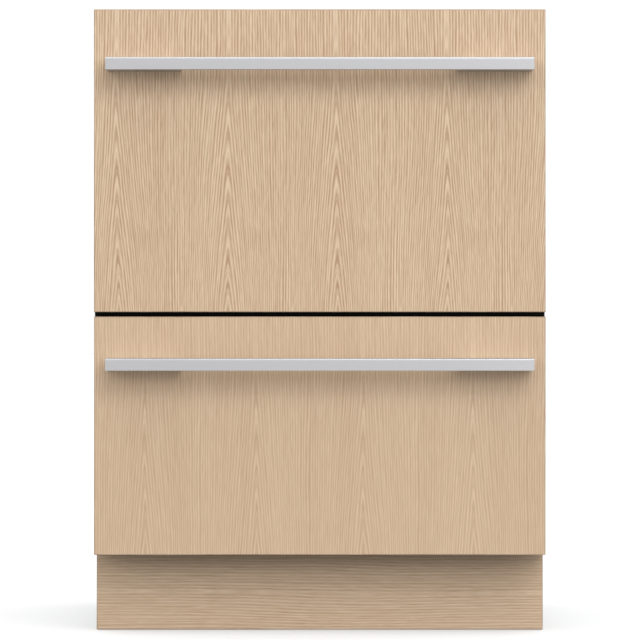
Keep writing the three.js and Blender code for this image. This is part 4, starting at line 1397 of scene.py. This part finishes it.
# %% Channels
STRIP = 1.5
SIDE_SHEET = 297.8  # inside of the side sheets, from the middle
BALLS = 14
BALL = 2.9
BALL_STEP = 13
RAIL_SCREWS = 4
RAIL_SCREW_STEP = 140


def channel(node, outwards):
    """A channel whose web is at its x1 side when outwards is 1, and at its x0 side when it is -1."""
    x0, x1, y0, y1, z0, z1 = span(node)
    web, lip = (x1, x0) if outwards > 0 else (x0, x1)
    inner = web - outwards * STRIP
    outline = [(web, z0), (lip, z0), (lip, z0 + STRIP), (inner, z0 + STRIP)]
    outline += [(inner, z1 - STRIP), (lip, z1 - STRIP), (lip, z1), (web, z1)]
    return pushed(outline, "Y", y0, y1, 0.6, 3)


def caged_balls(node, side):
    """Two rows of balls, and the cage that keeps them apart."""
    _, _, y0, _, z0, z1 = span(node)
    steel = ball((side * (SIDE_SHEET - 5.2), y0 + 24, 0), BALL)
    rows = [row(STAINLESS, steel, (0, 0, z), BALLS, (0, BALL_STEP, 0)) for z in (z0 + 7.2, z1 - 7.2)]
    cage_end = y0 + 34 + BALL_STEP * (BALLS - 1)
    inner, outer = side * (SIDE_SHEET - 4.6), side * (SIDE_SHEET - 3.4)
    return [*rows, (slab((inner, y0 + 14, z0 + 4), (outer, cage_end, z1 - 4), 0.4), SCREW)]


for level in LEVELS:
    for word, side in SIDES.items():
        for stage, opens in (("outer", 1), ("middle", 1), ("inner", -1)):
            node = f"{level}_rail_{stage}_{word}"
            parts = [(channel(node, opens * side), BRIGHT)]
            if stage == "middle":
                parts += caged_balls(node, side)
            if stage == "inner":
                _, _, y0, _, z0, z1 = span(node)
                start = (side * (SIDE_SHEET - 12.2), y0 + 35, (z0 + z1) / 2)
                head = screw_head(4, 1, "X", side)
                parts.append(row(SCREW, head, start, RAIL_SCREWS, (0, RAIL_SCREW_STEP, 0)))
            piece(f"{node}_channel", node, *parts)
print("12 channels")

# %% [markdown]
# ## Pressed sheets
# The chassis is zinc-coated sheet, 1.2 mm thick. A flat sheet of that size drums, so it is pressed with
# long beads, and screws sit in round dimples. The sheet starts as an outline with the beads' outlines
# inside it. Each bead's floor is moved by its depth, and the whole is given its thickness at the end. The
# beads go inwards, so the machine keeps its width.

# %% Pressed sheet
SHEET = 1.2
SIDE_BEAD = 1.1  # there is little room between the sides and the tubs
BEAD = 3
BEAD_IN = 60  # from the sheet's edges to a bead's ends


def stadium(a, b, radius, points=8):
    """A closed path round a slot from a to b, in the plane of a sheet."""
    along = math.degrees(math.atan2(b[1] - a[1], b[0] - a[0]))
    return arc(radius, along - 90, along + 90, points, *b) + arc(radius, along + 90, along + 270, points, *a)


def dimple(u, v, radius):
    """A bead so short that it is round."""
    return (u, v), (u + 0.01, v), radius


def pressed(outline, beads, depth):
    """A sheet in the plane z = 0 with its thickness below. Its beads go down by depth, at 45 degrees."""
    shape = bmesh.new()

    def loop(points, z=0.0):
        verts = [shape.verts.new((u * MM, v * MM, z * MM)) for u, v in points]
        return verts, [shape.edges.new(pair) for pair in zip(verts, verts[1:] + verts[:1])]

    edges = loop(outline)[1]
    for a, b, radius in beads:
        upper, upper_edges = loop(stadium(a, b, radius))
        lower, _ = loop(stadium(a, b, radius - depth), -depth)
        edges += upper_edges
        for i in range(len(upper)):
            j = (i + 1) % len(upper)
            shape.faces.new((upper[i], upper[j], lower[j], lower[i]))
        shape.faces.new(lower)
    bmesh.ops.triangle_fill(shape, edges=edges, use_beauty=True, use_dissolve=False)
    bmesh.ops.recalc_face_normals(shape, faces=shape.faces[:])
    if sum(face.normal.z * face.calc_area() for face in shape.faces) < 0:
        bmesh.ops.reverse_faces(shape, faces=shape.faces[:])
    return thickened(shape)


def thickened(shape):
    """The open sheet with a second skin below it and walls along its edge."""
    copied = bmesh.ops.duplicate(shape, geom=shape.verts[:] + shape.edges[:] + shape.faces[:])
    below = [item for item in copied["geom"] if isinstance(item, bmesh.types.BMFace)]
    lowered = list({vert for face in below for vert in face.verts})
    bmesh.ops.translate(shape, vec=(0, 0, -SHEET * MM), verts=lowered)
    rims = [edge for edge in shape.edges if edge.is_boundary]
    bmesh.ops.reverse_faces(shape, faces=below)
    bmesh.ops.bridge_loops(shape, edges=rims)
    bmesh.ops.recalc_face_normals(shape, faces=shape.faces[:])
    return shape


# %% Chassis sides
GUIDES_Y = (-130, 192.5)
GUIDE_HALF = 12
SLOT_HALF = 3.3
SHOULDER = 107  # height of the notch for the toe kick
DIMPLE = 7
DIMPLE_IN = 18
DIMPLES_Z = (125, 470, 560, 800)
BEADS_Z = (150, 200, 345, 380, 480, 530, 690, 725)  # clear of the runners and the lids' guides


def lid_guide(side, y, rim):
    """A moulded block with the upright slot that one of the lid's pins runs in."""
    low, high = (side * 293.6, y - GUIDE_HALF, rim + 2.1), (side * 297.9, y + GUIDE_HALF, rim + 24.3)
    slot = slab((side * 290, y - SLOT_HALF, rim + 5.1), (side * 297.75, y + SLOT_HALF, rim + 21.3))
    return cut(slab(low, high, 1, 3), slot)


for word, side in SIDES.items():
    node = f"chassis_side_{word}"
    x0, x1, y0, y1, z0, z1 = span(node)
    outside = x1 if side > 0 else x0
    notch = span("toe_kick")[3] + 0.3
    outline = [(notch, z0), (y1, z0), (y1, z1), (y0, z1), (y0, SHOULDER), (notch, SHOULDER)]
    beads = [((y0 + BEAD_IN, z), (y1 - BEAD_IN, z), 9) for z in BEADS_Z]
    beads += [dimple(y, z, DIMPLE) for z in DIMPLES_Z for y in (y0 + DIMPLE_IN, y1 - DIMPLE_IN)]
    standing = Matrix(((0, 0, side, 0), (1, 0, 0, 0), (0, 1, 0, 0), (0, 0, 0, 1)))  # beads inwards
    parts = [(placed(pressed(outline, beads, SIDE_BEAD), at(outside) @ standing), ZINC)]
    for level in LEVELS:
        parts += [(lid_guide(side, y, top_of(f"{level}_tub")), KEY) for y in GUIDES_Y]
    head = screw_head(4, 0.85, "X", side)
    for z in DIMPLES_Z:
        start = (outside - side * SIDE_BEAD, y0 + DIMPLE_IN, z)
        parts.append(row(SCREW, head, start, 2, (0, y1 - y0 - 2 * DIMPLE_IN, 0)))
    piece(f"{node}_sheet", node, *parts)
print("2 sides")

# %% Back and top
x0, x1, y0, y1, z0, z1 = span("chassis_back")
outline = [(x0, z0), (x1, z0), (x1, z1), (x0, z1)]
beads = [((x0 + BEAD_IN, z), (x1 - BEAD_IN, z), 11) for z in (180, 280, 380, 480, 580, 680)]
dimples = [(x, z) for x in (x0 + 16, 0, x1 - 16) for z in (130, 430, 755)]
facing_back = Matrix(((-1, 0, 0, 0), (0, 0, 1, 0), (0, 1, 0, 0), (0, 0, 0, 1)))
sheet = pressed(outline, beads + [dimple(x, z, 8) for x, z in dimples], BEAD)
screws = [row(SCREW, screw_head(4, 1.8, "Y"), (x, y1 - BEAD, z)) for x, z in dimples]
piece("chassis_back_sheet", "chassis_back", (placed(sheet, at(0, y1) @ facing_back), ZINC), *screws)

x0, x1, y0, y1, z0, z1 = span("chassis_top")
outline = [(x0, y0), (x1, y0), (x1, y1), (x0, y1)]
beads = [((x, y0 + BEAD_IN), (x, y1 - BEAD_IN), 12) for x in (-200, -100, 0, 100, 200)]
dimples = [(x, y) for x in (x0 + 16, 50, x1 - 16) for y in (y0 + 24, y1 - 16)]
sheet = pressed(outline, beads + [dimple(x, y, 8) for x, y in dimples], BEAD)
screws = [row(SCREW, screw_head(4, 1.8), (x, y, z1 - BEAD)) for x, y in dimples]
piece("chassis_top_sheet", "chassis_top", (placed(sheet, at(0, 0, z1)), ZINC), *screws)
print("back and top")

# %% Cross member
BEAM_RIBS = 27

x0, x1, y0, y1, z0, z1 = span("middle_crossmember")
beam = slab((x0, y0, z0), (x1, y1, z1), 1.2, 3)
groove = slab((x0 + 20, y0 - 1, z0 + 4), (x1 - 20, y0 + 1.2, z1 - 4), 0.4)
rib = slab((-0.8, y0 + 0.2, z0 + 3.5), (0.8, y0 + 1.4, z1 - 3.5), 0.2)
ribs = row(BLACK, rib, (x0 + 40, 0, 0), BEAM_RIBS, (20, 0, 0))
piece("middle_beam", "middle_crossmember", (cut(beam, groove), BLACK), ribs)
print(BEAM_RIBS, "ribs on the cross member")

# %% [markdown]
# ## Base
# The base is a moulded tray that would catch a leak. It stands on four screw feet, whose stems run in
# bosses, and it holds the electronics box. The tray is a box with a smaller one cut out of it, and ribs
# cross its floor. A foot is a turned pad with a hexagon for a spanner, and its thread is a spiral with a
# four-sided section.

# %% Tray
TRAY_WALL = 3
TRAY_RIB = 14  # height of the ribs, over the tray's underside
BOSS = 14
BOSS_BELOW = 6  # under the tray's rim
STEM = 5
STEM_HOLE = 5.3

x0, x1, y0, y1, z0, z1 = span("base_tray")
corners = ("front_left", "front_right", "rear_left", "rear_right")
feet = {name: middles(f"foot_{name}")[:2] for name in corners}
w = TRAY_WALL
outer = slab((x0, y0, z0), (x1, y1, z1), 1.4, 3)
inner = slab((x0 + w, y0 + w, z0 + w), (x1 - w, y1 - w, z1 + 10), 2, 3)
hole = turned([(0, z0 - 1), (STEM_HOLE, z0 - 1), (STEM_HOLE, z0 + 9), (0, z0 + 9)], sides=32)
holes = [placed(hole, at(*place)) for place in feet.values()]
parts = [(cut(outer, inner, *holes), TRAY)]
top = z1 - BOSS_BELOW
boss = [(STEM_HOLE, z0 + 2), (BOSS + 1, z0 + 2), (BOSS, z0 + 6), (BOSS, top - 1), (BOSS - 1, top)]
boss += [(STEM_HOLE + 0.8, top), (STEM_HOLE, top - 0.8)]
fin = slab((BOSS - 1, -1, z0 + 2), (BOSS + 9, 1, top - 8), 0.4)
for place in feet.values():
    parts.append((turned(boss, (*place, 0), closed=True), TRAY))
    parts.append(RING.make(TRAY, fin, at(*place), Count=8))
_, box_end, box_front, box_back, _, _ = span("control_module")
rib_end = (x1 - w + 0.5, 1, z0 + TRAY_RIB)
rib = slab((x0 + w - 0.5, -1, z0 + w - 0.5), rib_end, 0.4)
short_rib = slab((box_end + 12, -1, z0 + w - 0.5), rib_end, 0.4)
parts.append(row(TRAY, rib, (0, box_back + 24, 0), 7, (0, 30, 0)))
parts.append(row(TRAY, short_rib, (0, box_front, 0), 4, (0, 36, 0)))
piece("base_moulding", "base_tray", *parts)
print("base tray")

# %% Feet
PAD = 20
PAD_HEIGHT = 9
HEXAGON = 8.6
HEXAGON_TOP = 16
THREAD_FROM = 17
THREAD_PITCH = 1.75
PAD_RIBS = 24

for name, place in feet.items():
    top = top_of(f"foot_{name}")
    pad = [(0, 0.8), (15.5, 0.8), (16, 0), (PAD - 1, 0), (PAD, 1), (PAD, 4.5), (PAD - 0.8, 5.4)]
    pad += [(11, PAD_HEIGHT), (0, PAD_HEIGHT)]
    hexagon = [(0, PAD_HEIGHT - 1), (HEXAGON, PAD_HEIGHT - 1), (HEXAGON, HEXAGON_TOP - 1)]
    hexagon += [(HEXAGON - 1, HEXAGON_TOP), (0, HEXAGON_TOP)]
    core = STEM - 0.5
    stem = [(0, HEXAGON_TOP - 1), (core, HEXAGON_TOP - 1), (core, top - 1), (core - 1, top), (0, top)]
    height = top - THREAD_FROM - 2
    sizes = {"Radius": core, "Turns": height / THREAD_PITCH, "Height": height, "Depth": 0.48}
    thread = THREAD.make(SCREW, None, at(*place, THREAD_FROM), **sizes)
    rib = slab((PAD - 6, -0.6, 4), (PAD - 0.6, 0.6, 6.2), 0.3)
    ribs = RING.make(FOOT, rib, at(*place), Count=PAD_RIBS)
    centre = (*place, 0)
    parts = [(turned(pad, centre), FOOT), (turned(hexagon, centre, sides=6), FOOT)]
    parts += [(turned(stem, centre, sides=24), SCREW), thread, ribs]
    piece(f"foot_{name}_screw", f"foot_{name}", *parts)
print(len(feet), "feet")

# %% [markdown]
# ## Connections and electronics
# Three fittings leave the tray at the back: a threaded inlet for water, a gland for the mains lead and a
# barbed tail for the drain hose. All are hollow, because a hose or a lead goes into them or over them.
# The inlet has a strainer in its bore. The electronics box has a lid with cooling slits, a row of plugs
# and four screws.

# %% Fittings
def fitting_place(node):
    """Where a fitting stands on the rear wall: x, y and z, and how far it reaches."""
    x, _, z = middles(node)
    _, _, y0, y1, _, _ = span(node)
    return (x, y0, z), y1 - y0


def fitting(node, flange, bore, outside, floor=3, ease=0.8):
    """flange and bore are radii. outside gives the spigot's profile from the flange on."""
    place, reach = fitting_place(node)
    thick = outside[0][1]
    profile = [(0, 0), (flange - ease, 0), (flange, ease), (flange, thick - ease), (flange - ease, thick)]
    profile += [*outside, (bore + ease, reach), (bore, reach - ease), (bore, floor), (0, floor)]
    return turned(profile, place, "Y")


INLET = 12.3
STRAINER_WIRES = 8
STRAINER_STEP = 1.2

place, reach = fitting_place("inlet_valve")
body = fitting("inlet_valve", 20, 8, [(INLET, 8), (INLET, reach - 1), (INLET - 0.7, reach)])
backwards = at(*place) @ UP["Y"]
thread = THREAD.make(VALVE, None, backwards @ at(0, 0, 11), Radius=INLET, Turns=6.0, Height=11, Depth=0.66)
wire = slab((-7.6, -0.25, 0), (7.6, 0.25, 0.5))
strainer = []
for turn in (0, 90):
    crossed = backwards @ at(0, 0, 15) @ Matrix.Rotation(math.radians(turn), 4, "Z") @ at(0, -4.2)
    strainer.append(ROW.make(KEY, wire, crossed, Count=STRAINER_WIRES, Step=(0, STRAINER_STEP, 0)))
piece("inlet_screw", "inlet_valve", (body, VALVE), thread, *strainer)

place, reach = fitting_place("cable_gland")
outside = [(9, 4), (9, 8), (8, 8.4), (8, 9), (8.8, 9.4), (8.8, reach - 1.5), (7.5, reach)]
flute = slab((8.3, -0.5, 9.8), (8.98, 0.5, reach - 1.8), 0.2)
flutes = RING.make(BLACK, flute, at(*place) @ UP["Y"], Count=24)
piece("lead_gland", "cable_gland", (fitting("cable_gland", 14, 4, outside), BLACK), flutes)

_, reach = fitting_place("drain_outlet")
outside = [(9.4, 4)]
for barb in range(3):
    start = 7 + 5.4 * barb
    outside += [(9.4, start), (10.5, start + 0.4), (9.2, start + 4.8)]
outside += [(9, reach - 0.6), (8.4, reach)]
piece("drain_tail", "drain_outlet", (fitting("drain_outlet", 18, 7, outside), TRAY))
print("3 fittings")

# %% Electronics box
SLITS = 11
PLUGS = 4
BOX_RIBS = 6

x0, x1, y0, y1, z0, z1 = span("control_module")
lid_from = z1 - 8
box = slab((x0 + 1, y0 + 1, z0), (x1 - 1, y1 - 1, lid_from + 1), 2, 3)
slit = slab((x0 + 28.8, y0 + 22, z1 - 4), (x0 + 31.2, y1 - 22, z1 + 1), 0.2)
slits = [placed(slit, at(7 * i)) for i in range(SLITS)]
lid = cut(slab((x0, y0, lid_from), (x1, y1, z1 - 1.6), 1.2, 3), *slits)
plug = slab((x1 - 60, y1 - 2, z0 + 5), (x1 - 48, y1 - 0.1, z0 + 18), 0.5)
rib = slab((x0 + 0.1, y0 + 12, z0 + 3), (x0 + 2, y0 + 14, lid_from), 0.3)
head = screw_head(3.4, 1.6)
corners = [(x, y) for x in (x0 + 8, x1 - 8) for y in (y0 + 8, y1 - 8)]
heads = [row(SCREW, head, (x, y, z1 - 1.7)) for x, y in corners]
plugs = row(WHITE, plug, count=PLUGS, step=(-24, 0, 0))
ribs = row(MOTOR, rib, count=BOX_RIBS, step=(0, 18, 0))
piece("electronics_box", "control_module", (box, MOTOR), (lid, MOTOR), plugs, *heads, ribs)
print("electronics box")

# %% [markdown]
# ## Finish
# What is left of the CAD model keeps its shape and takes a finish of its own. Then the box of what is
# seen is measured and kept beside the CAD model's box.

# %% The rest of the nodes, and the sizes
FINISH_OF_SLOT = {
    "oak_veneer": OAK["upper"],
    "brushed_aluminium": ALUMINIUM,
    "black_plastic": BLACK,
    "key_grey": KEY,
    "galvanised_steel": ZINC,
    "runner_steel": BRIGHT,
    "tray_plastic": TRAY,
    "tub_plastic": TUB,
    "lid_plastic": LID,
    "seal_rubber": RUBBER,
    "spray_plastic": SPRAY,
    "filter_steel": STAINLESS,
    "motor_plastic": MOTOR,
    "rack_nylon": COAT,
    "dispenser_plastic": WHITE,
    "foot_plastic": FOOT,
    "valve_white": VALVE,
}
for node, object_ in cad.items():
    object_.data.materials[0] = FINISH_OF_SLOT[SLOT[node]]
print(len(made_pieces), "pieces,", sum(len(p.data.polygons) for p in made_pieces), "faces")

visual_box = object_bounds()
sizes = {"cad": [list(corner) for corner in cad_box], "visual": [list(corner) for corner in visual_box]}
